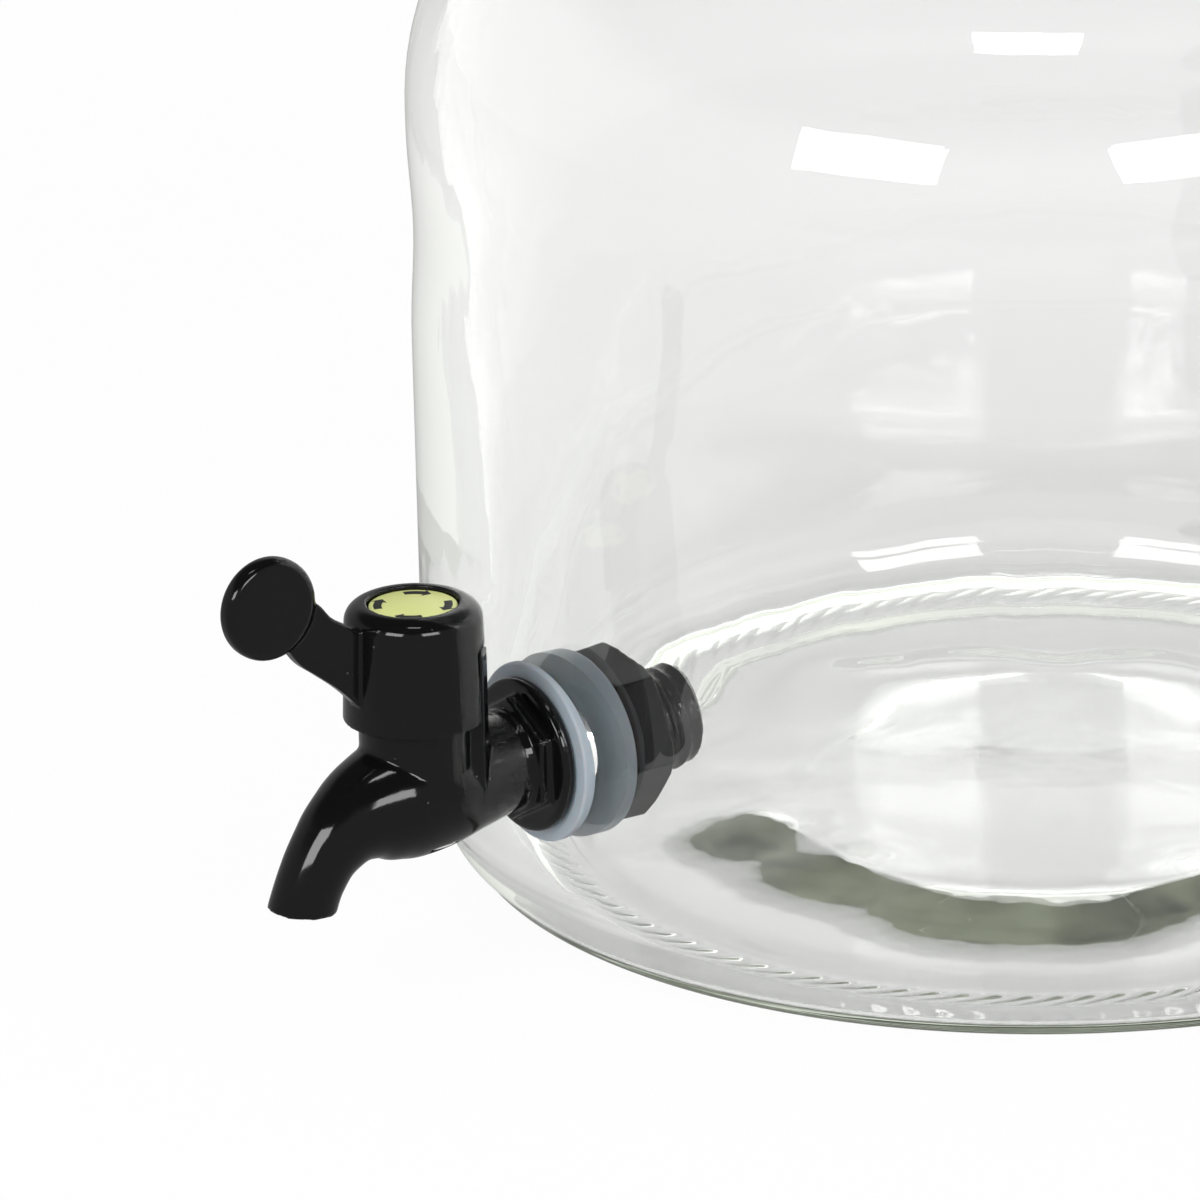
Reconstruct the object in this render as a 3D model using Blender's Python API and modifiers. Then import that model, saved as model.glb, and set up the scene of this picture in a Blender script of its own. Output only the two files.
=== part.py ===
"""Glass drink dispenser: a glass jar with a drop-in glass lid and a quarter-turn plastic tap.

Metres, +Z up. The jar stands on z = 0 and the tap points along -Y. The origin is under the
middle of the box that holds the jar and the tap, so the jar's axis lies behind it.
"""

import math

import bmesh
import bpy
from mathutils import Matrix, Vector

# Fits between pieces
CLEARANCE = 0.0003
MERGE_DISTANCE = 0.00001
CUT_OVERRUN = 0.002
SINK = 0.0006

# Jar: body, heel and foot
JAR_RADIUS = 0.1028
JAR_WALL = 0.005
LOWER_WALL = 0.0092
LOWER_WALL_HEIGHT = 0.054
WALL_TAPER_END = 0.124
HEEL_HEIGHT = 0.0245
HEEL_INSET = 0.0058
FOOT_CORNER_RADIUS = 0.003
FOOT_WIDTH = 0.015
FOOT_RECESS = 0.0025
FOOT_RECESS_RUN = 0.006
WAIST_DIP = 0.0008
WAIST_HEIGHT = 0.106
WAIST_SPREAD = 0.018

# Jar: floor and punt
FLOOR_HEIGHT = 0.0085
FLOOR_CORNER_RADIUS = 0.014
PUNT_RADIUS = 0.041
PUNT_RUN = 0.010
PUNT_RISE = 0.0035

# Jar: shoulder, neck and mouth
SHOULDER_START = 0.127
SHOULDER_RADIUS = 0.048
NECK_RADIUS = 0.058
NECK_FILLET = 0.008
RIM_HEIGHT = 0.200
RIM_BEAD = 0.0045

# Lid and its seal
SEAL_THICKNESS = 0.0025
SEAL_WIDTH = 0.0095
LID_OVERHANG = 0.0015
LID_EDGE = 0.0045
LID_EDGE_ROUND = 0.0018
LID_DOME_RISE = 0.0045
LID_THICKNESS = 0.005
LID_PLUG_CLEARANCE = 0.0028
LID_PLUG_WALL = 0.0045
LID_PLUG_DEPTH = 0.011
KNOB_RADIUS = 0.016
KNOB_HALF_HEIGHT = 0.0085
KNOB_STEM_RADIUS = 0.009
KNOB_STEM_HEIGHT = 0.006

# Tap: where it goes through the glass
TAP_HEIGHT = 0.0366
THREAD_RADIUS = 0.008
HOLE_CLEARANCE = 0.0008
WASHER_RADIUS = 0.0147
INNER_WASHER_RADIUS = 0.015
OUTER_WASHER_THICKNESS = 0.0008
INNER_WASHER_THICKNESS = 0.0017
NUT_ACROSS_FLATS = 0.024
NUT_THICKNESS = 0.0075
NUT_TURN_DEG = 24.0
NUT_CHAMFER = 0.0006
TAIL_BEYOND_NUT = 0.009
TAIL_CHAMFER = 0.0008
TAIL_BORE_RADIUS = 0.005

# Tap: flange, collar and pipe
FLANGE_RADIUS = 0.0126
FLANGE_THICKNESS = 0.0022
FLANGE_ROUND = 0.0009
FLANGE_BACK_ROUND = 0.0003
COLLAR_ACROSS_FLATS = 0.018
COLLAR_LENGTH = 0.0021
PIPE_RADIUS = 0.0082
PIPE_STEP = 0.0011
TUBE_START_RADIUS = 0.0077
BARREL_FROM_FLANGE = 0.0216

# Tap: body and spout, a swelling tube along a falling line
BODY_RADIUS = 0.010
SPOUT_REACH = 0.0229
SPOUT_DROP = 0.0157
OUTLET_RADIUS = 0.0054
OUTLET_TILT_DEG = 7.0
SPOUT_WALL = 0.0013
BODY_DIP = 0.0015

# Tap: valve barrel and plug
BARREL_RADIUS = 0.0092
BARREL_BEAD = 0.0006
BARREL_BEAD_WIDTH = 0.0014
BARREL_BEAD_ABOVE_CAP_EDGE = 0.0034
PLUG_RADIUS = 0.0063
PLUG_BELOW_PORT = 0.0075
PORT_RADIUS = 0.0031
O_RING_SECTION = 0.0012
O_RING_FROM_PORT = 0.0051
STEM_WIDTH = 0.005
STEM_LENGTH = 0.0054

# Tap: handle cap
CAP_BOTTOM = 0.0482
CAP_HEIGHT = 0.019
CAP_TOP_RADIUS = 0.011
CAP_BOTTOM_RADIUS = 0.0116
CAP_TOP_ROUND = 0.003
CAP_PLATE = 0.0062
LABEL_RECESS_RADIUS = 0.0073
LABEL_RECESS_DEPTH = 0.0014
LABEL_THICKNESS = 0.0005
HUB_DEPTH = 0.0052
HUB_RADIUS = 0.0059

# Tap: turning stop, a rib on the barrel in a window of the cap's skirt
RIB_ANGLE_DEG = 52.0
RIB_WIDTH = 0.0026
RIB_DEPTH = 0.0017
TURN_DEG = 90.0
OPEN_GAP_DEG = 7.0
SHUT_GAP_DEG = 3.0
WINDOW_HEIGHT = 0.0118

# Tap: lever
LEVER_REACH = 0.0272
PADDLE_RISE = 0.0051
PADDLE_RADIUS = 0.0083
PADDLE_THICKNESS = 0.0038
PADDLE_ROUND = 0.0015
ARM_THICKNESS = 0.0028

# Tap: screw that holds the cap to the plug
SCREW_HEAD_RADIUS = 0.0028
SCREW_HEAD_HEIGHT = 0.0018
SCREW_RADIUS = 0.0014
SCREW_LENGTH = 0.010
SCREW_SLOT_WIDTH = 0.0008
SCREW_SLOT_DEPTH = 0.0007

# How finely round shapes are divided
JAR_STEPS = 56
LID_STEPS = 40
TAP_STEPS = 36
SMALL_STEPS = 20
CURVE_SIDES_RESOLUTION = 6
CURVE_STEPS = 3
SMOOTH_ANGLE_DEG = 35.0
HALF_STEP_DEG = 180.0 / TAP_STEPS

# Derived heights and distances. Distances along the tap are measured from the jar's axis.
BEAD_CENTRE_RADIUS = NECK_RADIUS - JAR_WALL + RIM_BEAD
MOUTH_RADIUS = NECK_RADIUS - JAR_WALL
SEAL_BOTTOM = RIM_HEIGHT + CLEARANCE
LID_SEAT = SEAL_BOTTOM + SEAL_THICKNESS + CLEARANCE
LID_PLUG_RADIUS = MOUTH_RADIUS - LID_PLUG_CLEARANCE
LID_RADIUS = BEAD_CENTRE_RADIUS + RIM_BEAD + LID_OVERHANG
WASHER_FACE = JAR_RADIUS + CLEARANCE + OUTER_WASHER_THICKNESS
FLANGE_BACK = WASHER_FACE + CLEARANCE
FLANGE_FRONT = FLANGE_BACK + FLANGE_THICKNESS
COLLAR_FRONT = FLANGE_FRONT + COLLAR_LENGTH
PIPE_FRONT = COLLAR_FRONT + PIPE_STEP
BARREL_AXIS = FLANGE_BACK + BARREL_FROM_FLANGE
UPPER_INSIDE = JAR_RADIUS - JAR_WALL
GLASS_INSIDE = JAR_RADIUS - LOWER_WALL
INNER_WASHER_EDGE = math.sqrt((GLASS_INSIDE - CLEARANCE) ** 2 - INNER_WASHER_RADIUS ** 2)
INNER_WASHER_BACK = INNER_WASHER_EDGE - INNER_WASHER_THICKNESS
NUT_FRONT = INNER_WASHER_BACK - CLEARANCE
NUT_BACK = NUT_FRONT - NUT_THICKNESS
TAIL_END = NUT_BACK - TAIL_BEYOND_NUT
PORT_HEIGHT = TAP_HEIGHT - BODY_DIP
CHAMBER_RADIUS = PLUG_RADIUS + CLEARANCE
PLUG_BOTTOM = PORT_HEIGHT - PLUG_BELOW_PORT
CHAMBER_FLOOR = PLUG_BOTTOM - CLEARANCE
CAP_TOP = CAP_BOTTOM + CAP_HEIGHT
CEILING = CAP_TOP - CAP_PLATE
HUB_BOTTOM = CEILING - HUB_DEPTH
BARREL_TOP = CEILING - CLEARANCE
PLUG_TOP = HUB_BOTTOM - CLEARANCE
STEM_TOP = PLUG_TOP + STEM_LENGTH
SOCKET_TOP = STEM_TOP + CLEARANCE
LABEL_SEAT = CAP_TOP - LABEL_RECESS_DEPTH
SCREW_SEAT = LABEL_SEAT - SCREW_HEAD_HEIGHT - CLEARANCE
BEAD_HEIGHT = CAP_BOTTOM + BARREL_BEAD_ABOVE_CAP_EDGE
CAP_BORE_RADIUS = BARREL_RADIUS + CLEARANCE
PADDLE_HEIGHT = CAP_TOP + PADDLE_RISE
TAP_REACH = BARREL_AXIS + LEVER_REACH + PADDLE_RADIUS
JAR_AXIS_Y = (TAP_REACH - JAR_RADIUS) / 2
SPOUT_BORE_RADIUS = OUTLET_RADIUS - SPOUT_WALL
PASSAGE_RADIUS = PORT_RADIUS + CLEARANCE

# Spout: shares of the reach from the barrel's axis, of the drop, and of the swell over the outlet
SPOUT_SHARES = (
    (-0.36, 0.05, 0.78),
    (0.00, 0.085, 0.98),
    (0.31, 0.105, 0.87),
    (0.575, 0.20, 0.42),
    (0.76, 0.395, 0.13),
    (0.90, 0.67, 0.01),
    (1.00, 1.00, 0.00),
    (1.06, 1.25, 0.00),
)
# Lever arm: shares of the reach, and of the height from the cap's lower edge to the paddle
ARM_TOP_SHARES = ((0.385, 0.68), (0.47, 0.75), (0.59, 0.84), (0.69, 0.965), (0.80, 1.02))
ARM_BOTTOM_SHARES = ((0.90, 0.70), (0.81, 0.565), (0.70, 0.465), (0.53, 0.305), (0.385, 0.13))
WAIST_SHARES = (0.25, 0.5, 0.75)


# Helpers
def clear_scene():
    for obj in list(bpy.data.objects):
        bpy.data.objects.remove(obj, do_unlink=True)


def make_collection(name):
    collection = bpy.data.collections.new(name)
    bpy.context.scene.collection.children.link(collection)
    return collection


def add_object(name, data, collection, parent=None):
    obj = bpy.data.objects.new(name, data)
    collection.objects.link(obj)
    obj.parent = parent
    return obj


def make_material(name, colour, roughness, metallic=0.0, alpha=1.0):
    material = bpy.data.materials.new(name)
    material.use_nodes = True
    shader = material.node_tree.nodes["Principled BSDF"]
    shader.inputs["Base Color"].default_value = (*colour, 1.0)
    shader.inputs["Roughness"].default_value = roughness
    shader.inputs["Metallic"].default_value = metallic
    shader.inputs["Alpha"].default_value = alpha
    material.diffuse_color = (*colour, alpha)
    return material


def arc(centre, radius, start_deg, end_deg, steps):
    """Points on a circle about centre, both ends included."""
    points = []
    for i in range(steps + 1):
        angle = math.radians(start_deg + (end_deg - start_deg) * i / steps)
        points.append((centre[0] + radius * math.cos(angle), centre[1] + radius * math.sin(angle)))
    return points


def turned(name, profile, steps, collection, parent=None):
    """A turned solid about Z. The profile holds (radius, height) and runs down its outer side.

    A profile that starts on the axis ends on it too. Any other is a ring and is closed here.
    """
    bm = bmesh.new()
    verts = [bm.verts.new((radius, 0.0, height)) for radius, height in profile]
    for a, b in zip(verts, verts[1:]):
        bm.edges.new((a, b))
    if profile[0][0] > 0:
        bm.edges.new((verts[-1], verts[0]))
    mesh = bpy.data.meshes.new(name)
    bm.to_mesh(mesh)
    bm.free()
    obj = add_object(name, mesh, collection, parent)
    turn = obj.modifiers.new("Turn", "SCREW")
    turn.steps = steps
    turn.render_steps = steps
    turn.use_merge_vertices = True
    turn.merge_threshold = MERGE_DISTANCE
    return obj


def prism(name, radius, bottom, top, sides, collection, parent=None, turn_deg=0.0):
    """A right prism or cylinder about Z between two heights."""
    bm = bmesh.new()
    place = Matrix.Translation((0.0, 0.0, (bottom + top) / 2))
    place = place @ Matrix.Rotation(math.radians(turn_deg), 4, "Z")
    bmesh.ops.create_cone(
        bm, cap_ends=True, segments=sides, radius1=radius, radius2=radius,
        depth=top - bottom, matrix=place,
    )
    mesh = bpy.data.meshes.new(name)
    bm.to_mesh(mesh)
    bm.free()
    return add_object(name, mesh, collection, parent)


def block(name, low, high, collection, parent=None):
    """A box between two corners."""
    low = Vector(low)
    high = Vector(high)
    size = high - low
    place = Matrix.Translation((low + high) / 2) @ Matrix.Diagonal((*size, 1.0))
    bm = bmesh.new()
    bmesh.ops.create_cube(bm, size=1.0, matrix=place)
    mesh = bpy.data.meshes.new(name)
    bm.to_mesh(mesh)
    bm.free()
    return add_object(name, mesh, collection, parent)


def as_mesh(obj, collection):
    """Replaces a curve by its closed mesh, in the same place under the same parent."""
    bpy.context.view_layer.update()
    evaluated = obj.evaluated_get(bpy.context.evaluated_depsgraph_get())
    mesh = bpy.data.meshes.new_from_object(evaluated)
    bm = bmesh.new()
    bm.from_mesh(mesh)
    bmesh.ops.remove_doubles(bm, verts=bm.verts, dist=MERGE_DISTANCE)
    bmesh.ops.recalc_face_normals(bm, faces=bm.faces)
    bm.to_mesh(mesh)
    bm.free()
    name = obj.name
    parent = obj.parent
    local = obj.matrix_local.copy()
    bpy.data.objects.remove(obj, do_unlink=True)
    made = add_object(name, mesh, collection, parent)
    made.matrix_local = local
    return made


def swelling_tube(name, points, resolution, collection, parent):
    """A round tube through (place, radius) points, as a closed mesh."""
    curve = bpy.data.curves.new(name, "CURVE")
    curve.dimensions = "3D"
    curve.use_fill_caps = True
    curve.bevel_depth = BODY_RADIUS
    curve.bevel_resolution = resolution
    curve.resolution_u = CURVE_STEPS
    curve.render_resolution_u = 0
    spline = curve.splines.new("BEZIER")
    spline.bezier_points.add(len(points) - 1)
    spline.radius_interpolation = "CARDINAL"
    for knot, (place, radius) in zip(spline.bezier_points, points):
        knot.co = place
        knot.radius = radius / BODY_RADIUS
        knot.handle_left_type = "AUTO"
        knot.handle_right_type = "AUTO"
    return as_mesh(add_object(name, curve, collection, parent), collection)


def as_tool(obj):
    """Marks an object that only cuts or joins another."""
    obj.hide_render = True
    obj.display_type = "WIRE"
    return obj


def combine(obj, tool, operation):
    modifier = obj.modifiers.new(tool.name, "BOOLEAN")
    modifier.operation = operation
    modifier.solver = "EXACT"
    modifier.object = as_tool(tool)


def cut(obj, tool):
    combine(obj, tool, "DIFFERENCE")


def join(obj, tool):
    combine(obj, tool, "UNION")


def finish(obj, material):
    """Applies the modifiers, shades the round faces smooth and gives the piece its material."""
    bpy.context.view_layer.update()
    evaluated = obj.evaluated_get(bpy.context.evaluated_depsgraph_get())
    mesh = bpy.data.meshes.new_from_object(evaluated)
    obj.modifiers.clear()
    obj.data = mesh
    mesh.shade_smooth()
    mesh.set_sharp_from_angle(angle=math.radians(SMOOTH_ANGLE_DEG))
    mesh.materials.clear()
    mesh.materials.append(material)
    return obj


# Jar
def wall_radius(height, base_radius):
    """The body's radius at a height, with the slight waist under the shoulder."""
    away = min(abs(height - WAIST_HEIGHT) / WAIST_SPREAD, 1.0)
    return base_radius - WAIST_DIP * (1 + math.cos(math.pi * away)) / 2


def inside_radius(height):
    """The inner wall without its waist: narrow at the tap, and wider up to the shoulder."""
    share = (height - LOWER_WALL_HEIGHT) / (WALL_TAPER_END - LOWER_WALL_HEIGHT)
    return GLASS_INSIDE + (UPPER_INSIDE - GLASS_INSIDE) * min(max(share, 0.0), 1.0)


def outside_radius(height):
    """The outer wall without its waist."""
    return JAR_RADIUS


def waist_points(base_radius_at):
    """The body wall from the shoulder down to below the waist."""
    top = min(WAIST_HEIGHT + WAIST_SPREAD, SHOULDER_START)
    bottom = WAIST_HEIGHT - WAIST_SPREAD
    heights = [top] + [top + (bottom - top) * share for share in WAIST_SHARES] + [bottom]
    return [(wall_radius(height, base_radius_at(height)), height) for height in heights]


def shoulder_meets_fillet():
    """Height of the neck fillet's centre, and the angle at which the shoulder reaches it."""
    across = NECK_RADIUS + NECK_FILLET - (JAR_RADIUS - SHOULDER_RADIUS)
    reach = SHOULDER_RADIUS + NECK_FILLET
    up = math.sqrt(reach ** 2 - across ** 2)
    return SHOULDER_START + up, math.degrees(math.atan2(up, across))


def jar_inside():
    """From the middle of the floor, up the inner wall, to the neck."""
    fillet_height, meet_deg = shoulder_meets_fillet()
    shoulder_centre = (JAR_RADIUS - SHOULDER_RADIUS, SHOULDER_START)
    fillet_centre = (NECK_RADIUS + NECK_FILLET, fillet_height)
    corner = (GLASS_INSIDE - FLOOR_CORNER_RADIUS, FLOOR_HEIGHT + FLOOR_CORNER_RADIUS)
    points = [(0.0, FLOOR_HEIGHT + PUNT_RISE), (PUNT_RADIUS - PUNT_RUN, FLOOR_HEIGHT + PUNT_RISE)]
    points += [(PUNT_RADIUS, FLOOR_HEIGHT)]
    points += arc(corner, FLOOR_CORNER_RADIUS, -90, 0, 4)
    points += [(GLASS_INSIDE, LOWER_WALL_HEIGHT)]
    points += list(reversed(waist_points(inside_radius)))
    points += arc(shoulder_centre, SHOULDER_RADIUS - JAR_WALL, 0, meet_deg, 6)
    points += arc(fillet_centre, NECK_FILLET + JAR_WALL, 180 + meet_deg, 180, 3)[1:]
    return points


def jar_outside():
    """From the rim, down the outer wall, under the foot, to the middle of the punt."""
    fillet_height, meet_deg = shoulder_meets_fillet()
    shoulder_centre = (JAR_RADIUS - SHOULDER_RADIUS, SHOULDER_START)
    fillet_centre = (NECK_RADIUS + NECK_FILLET, fillet_height)
    bead_centre = (BEAD_CENTRE_RADIUS, RIM_HEIGHT - RIM_BEAD)
    bead_end = math.degrees(math.acos((NECK_RADIUS - BEAD_CENTRE_RADIUS) / RIM_BEAD))
    foot_radius = JAR_RADIUS - HEEL_INSET
    foot_inner = foot_radius - FOOT_CORNER_RADIUS - FOOT_WIDTH
    points = arc(bead_centre, RIM_BEAD, 180, -bead_end, 8)
    points += arc(fillet_centre, NECK_FILLET, 180, 180 + meet_deg, 3)
    points += arc(shoulder_centre, SHOULDER_RADIUS, meet_deg, 0, 6)[1:]
    points += waist_points(outside_radius)
    for i in range(5):
        angle = math.radians(90 - 90 * i / 4)
        heel = HEEL_HEIGHT - (HEEL_HEIGHT - FOOT_CORNER_RADIUS) * math.cos(angle)
        points.append((foot_radius + HEEL_INSET * math.sin(angle), heel))
    points += arc((foot_radius - FOOT_CORNER_RADIUS, FOOT_CORNER_RADIUS), FOOT_CORNER_RADIUS, 0, -90, 3)[1:]
    points += [(foot_inner, 0.0), (foot_inner - FOOT_RECESS_RUN, FOOT_RECESS)]
    points += [(PUNT_RADIUS, FOOT_RECESS), (PUNT_RADIUS - PUNT_RUN, FOOT_RECESS + PUNT_RISE)]
    points += [(0.0, FOOT_RECESS + PUNT_RISE)]
    return points


def make_jar(parts, tools, frame, tap_frame, glass):
    jar = turned("glass_jar", jar_inside() + jar_outside(), JAR_STEPS, parts, frame)
    hole_radius = THREAD_RADIUS + HOLE_CLEARANCE
    hole = prism(
        "tap_hole", hole_radius, GLASS_INSIDE - INNER_WASHER_RADIUS, JAR_RADIUS + CUT_OVERRUN,
        TAP_STEPS, tools, tap_frame,
    )
    cut(jar, hole)
    return finish(jar, glass)


# Lid
def lid_profile():
    top_edge = LID_SEAT + LID_EDGE
    dome_top = top_edge + LID_DOME_RISE
    knob_centre = dome_top + KNOB_STEM_HEIGHT + KNOB_HALF_HEIGHT
    plug_bottom = LID_SEAT - LID_PLUG_DEPTH
    plug_inside = LID_PLUG_RADIUS - LID_PLUG_WALL
    points = []
    for i in range(9):
        angle = math.radians(90 - 145 * i / 8)
        height = knob_centre + KNOB_HALF_HEIGHT * math.sin(angle)
        points.append((KNOB_RADIUS * math.cos(angle), height))
    points[0] = (0.0, knob_centre + KNOB_HALF_HEIGHT)
    points += [(KNOB_STEM_RADIUS, dome_top + KNOB_STEM_HEIGHT / 2)]
    points += [(KNOB_STEM_RADIUS + KNOB_STEM_HEIGHT / 3, dome_top)]
    points += [(LID_PLUG_RADIUS, top_edge + LID_DOME_RISE / 3)]
    edge = LID_RADIUS - LID_EDGE_ROUND
    points += arc((edge, top_edge - LID_EDGE_ROUND), LID_EDGE_ROUND, 90, 0, 3)
    points += arc((edge, LID_SEAT + LID_EDGE_ROUND), LID_EDGE_ROUND, 0, -90, 3)
    points += [(LID_PLUG_RADIUS, LID_SEAT), (LID_PLUG_RADIUS, plug_bottom + LID_EDGE_ROUND)]
    points += [(LID_PLUG_RADIUS - LID_EDGE_ROUND, plug_bottom), (plug_inside, plug_bottom)]
    points += [(plug_inside, top_edge - LID_THICKNESS + LID_EDGE_ROUND)]
    points += [(plug_inside - LID_EDGE_ROUND, dome_top - LID_THICKNESS)]
    points += [(0.0, dome_top - LID_THICKNESS)]
    return points


def make_lid(parts, frame, glass, silicone):
    lid = finish(turned("glass_lid", lid_profile(), LID_STEPS, parts, frame), glass)
    inside = LID_PLUG_RADIUS + CLEARANCE
    outside = inside + SEAL_WIDTH
    top = SEAL_BOTTOM + SEAL_THICKNESS
    ring = [(inside, top), (outside - SINK, top), (outside, top - SINK)]
    ring += [(outside, SEAL_BOTTOM + SINK), (outside - SINK, SEAL_BOTTOM), (inside, SEAL_BOTTOM)]
    seal = finish(turned("lid_seal", ring, LID_STEPS, parts, frame), silicone)
    return lid, seal


# Tap fixings. In the tap frame +Z runs outwards from the jar's axis and +Y is up.
def make_washers(parts, tools, frame, tap_frame, silicone):
    bore = THREAD_RADIUS + CLEARANCE
    outer_ring = [(bore, WASHER_FACE), (WASHER_RADIUS - SINK, WASHER_FACE)]
    outer_ring += [(WASHER_RADIUS, WASHER_FACE - SINK)]
    outer_ring += [(WASHER_RADIUS, GLASS_INSIDE), (bore, GLASS_INSIDE)]
    outer = turned("outer_washer", outer_ring, TAP_STEPS, parts, tap_frame)
    glass_side = prism(
        "wall_outside", JAR_RADIUS + CLEARANCE, 0.0, SHOULDER_START, 4 * JAR_STEPS, tools, frame,
    )
    cut(outer, glass_side)
    inner_ring = [(bore, JAR_RADIUS), (INNER_WASHER_RADIUS, JAR_RADIUS)]
    inner_ring += [(INNER_WASHER_RADIUS, INNER_WASHER_BACK + SINK)]
    inner_ring += [(INNER_WASHER_RADIUS - SINK, INNER_WASHER_BACK), (bore, INNER_WASHER_BACK)]
    inner = turned("inner_washer", inner_ring, TAP_STEPS, parts, tap_frame)
    room_side = prism(
        "wall_inside", GLASS_INSIDE - CLEARANCE, 0.0, SHOULDER_START, 4 * JAR_STEPS, tools, frame,
    )
    combine(inner, room_side, "INTERSECT")
    return finish(outer, silicone), finish(inner, silicone)


def make_nut(parts, tools, tap_frame, plastic):
    corner_radius = NUT_ACROSS_FLATS / math.sqrt(3)
    nut = prism("lock_nut", corner_radius, NUT_BACK, NUT_FRONT, 6, parts, tap_frame, NUT_TURN_DEG)
    chamfer = nut.modifiers.new("Chamfer", "BEVEL")
    chamfer.width = NUT_CHAMFER
    chamfer.segments = 1
    hole = prism(
        "nut_hole", THREAD_RADIUS + CLEARANCE, NUT_BACK - CUT_OVERRUN, NUT_FRONT + CUT_OVERRUN,
        TAP_STEPS, tools, tap_frame,
    )
    cut(nut, hole)
    return finish(nut, plastic)


# Tap body
def spout_line(radius_at):
    """Places and radii along the body and spout, in the tap frame."""
    points = []
    for reach_share, drop_share, swell_share in SPOUT_SHARES:
        along = BARREL_AXIS + SPOUT_REACH * reach_share
        place = (0.0, -SPOUT_DROP * drop_share, along)
        points.append((place, radius_at(swell_share)))
    return points


def body_radius(swell_share):
    return OUTLET_RADIUS + (BODY_RADIUS - OUTLET_RADIUS) * swell_share


def bore_radius(swell_share):
    return SPOUT_BORE_RADIUS + (PASSAGE_RADIUS - SPOUT_BORE_RADIUS) * swell_share


def tail_and_flange_profile():
    edge = FLANGE_RADIUS - FLANGE_ROUND
    points = [(0.0, PIPE_FRONT), (PIPE_RADIUS, PIPE_FRONT), (PIPE_RADIUS, FLANGE_FRONT)]
    points += arc((edge, FLANGE_FRONT - FLANGE_ROUND), FLANGE_ROUND, 90, 0, 3)
    points += [(FLANGE_RADIUS, FLANGE_BACK + FLANGE_BACK_ROUND)]
    points += [(FLANGE_RADIUS - FLANGE_BACK_ROUND, FLANGE_BACK)]
    points += [(THREAD_RADIUS, FLANGE_BACK), (THREAD_RADIUS, TAIL_END + TAIL_CHAMFER)]
    points += [(THREAD_RADIUS - TAIL_CHAMFER, TAIL_END), (0.0, TAIL_END)]
    return points


def barrel_profile():
    """The valve barrel, with the bead that the cap snaps over."""
    bead = BARREL_RADIUS + BARREL_BEAD
    bead_top = BEAD_HEIGHT + BARREL_BEAD_WIDTH / 2
    bead_bottom = BEAD_HEIGHT - BARREL_BEAD_WIDTH / 2
    return [
        (0.0, BARREL_TOP), (BARREL_RADIUS - SINK, BARREL_TOP), (BARREL_RADIUS, BARREL_TOP - SINK),
        (BARREL_RADIUS, bead_top + BARREL_BEAD), (bead, bead_top), (bead, bead_bottom),
        (BARREL_RADIUS, bead_bottom - BARREL_BEAD), (BARREL_RADIUS, PORT_HEIGHT), (0.0, PORT_HEIGHT),
    ]


def make_stop_rib(tools, pivot):
    """The rib stands on the barrel, between the tap's back and its right side."""
    outer = BARREL_RADIUS + RIB_DEPTH
    low = (-RIB_WIDTH / 2, BARREL_RADIUS - SINK, PORT_HEIGHT)
    high = (RIB_WIDTH / 2, outer, CAP_BOTTOM + WINDOW_HEIGHT - CUT_OVERRUN)
    rib = block("stop_rib", low, high, tools, pivot)
    rib.rotation_euler.z = -math.radians(RIB_ANGLE_DEG)
    return rib


def make_outlet_trim(tools, tap_frame):
    """A block that trims the spout's end along its sloping outlet."""
    side = SPOUT_REACH
    trim = block("outlet_trim", (-side, -side, -side), (side, 0.0, side), tools, tap_frame)
    trim.location = (0.0, -SPOUT_DROP, BARREL_AXIS + SPOUT_REACH)
    trim.rotation_euler.x = -math.radians(OUTLET_TILT_DEG)
    return trim


def make_tap_body(parts, tools, tap_frame, pivot, plastic):
    body = turned("tap_body", tail_and_flange_profile(), TAP_STEPS, parts, tap_frame)
    corner_radius = COLLAR_ACROSS_FLATS / math.sqrt(3)
    collar = prism(
        "collar", corner_radius, FLANGE_FRONT - SINK, COLLAR_FRONT, 6, tools, tap_frame,
    )
    pipe_start = ((0.0, 0.0, FLANGE_FRONT), TUBE_START_RADIUS)
    outside = swelling_tube(
        "spout", [pipe_start] + spout_line(body_radius), CURVE_SIDES_RESOLUTION, tools, tap_frame,
    )
    barrel = turned("barrel", barrel_profile(), TAP_STEPS, tools, pivot)
    for piece in (collar, outside, barrel, make_stop_rib(tools, pivot)):
        join(body, piece)
    chamber = prism(
        "chamber", CHAMBER_RADIUS, CHAMBER_FLOOR, BARREL_TOP + CUT_OVERRUN, TAP_STEPS, tools, pivot,
        HALF_STEP_DEG,
    )
    bore_end = COLLAR_FRONT - CLEARANCE
    tail_bore = prism(
        "tail_bore", TAIL_BORE_RADIUS, TAIL_END - CUT_OVERRUN, bore_end, SMALL_STEPS, tools, tap_frame,
    )
    inlet = prism("inlet", PASSAGE_RADIUS, bore_end - CUT_OVERRUN, BARREL_AXIS, SMALL_STEPS, tools, tap_frame)
    inlet.location.y = -BODY_DIP
    spout_bore = swelling_tube("spout_bore", spout_line(bore_radius)[1:], 4, tools, tap_frame)
    for piece in (chamber, tail_bore, inlet, spout_bore, make_outlet_trim(tools, tap_frame)):
        cut(body, piece)
    return finish(body, plastic)


# Valve plug and its rings, about the barrel's axis
def plug_profile():
    groove = CHAMBER_RADIUS - CLEARANCE - O_RING_SECTION - CLEARANCE
    half = O_RING_SECTION / 2 + CLEARANCE
    points = [(0.0, PLUG_TOP), (PLUG_RADIUS, PLUG_TOP)]
    for height in (PORT_HEIGHT + O_RING_FROM_PORT, PORT_HEIGHT - O_RING_FROM_PORT):
        points += [(PLUG_RADIUS, height + half), (groove, height + half)]
        points += [(groove, height - half), (PLUG_RADIUS, height - half)]
    points += [(PLUG_RADIUS, PLUG_BOTTOM), (0.0, PLUG_BOTTOM)]
    return points


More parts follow.
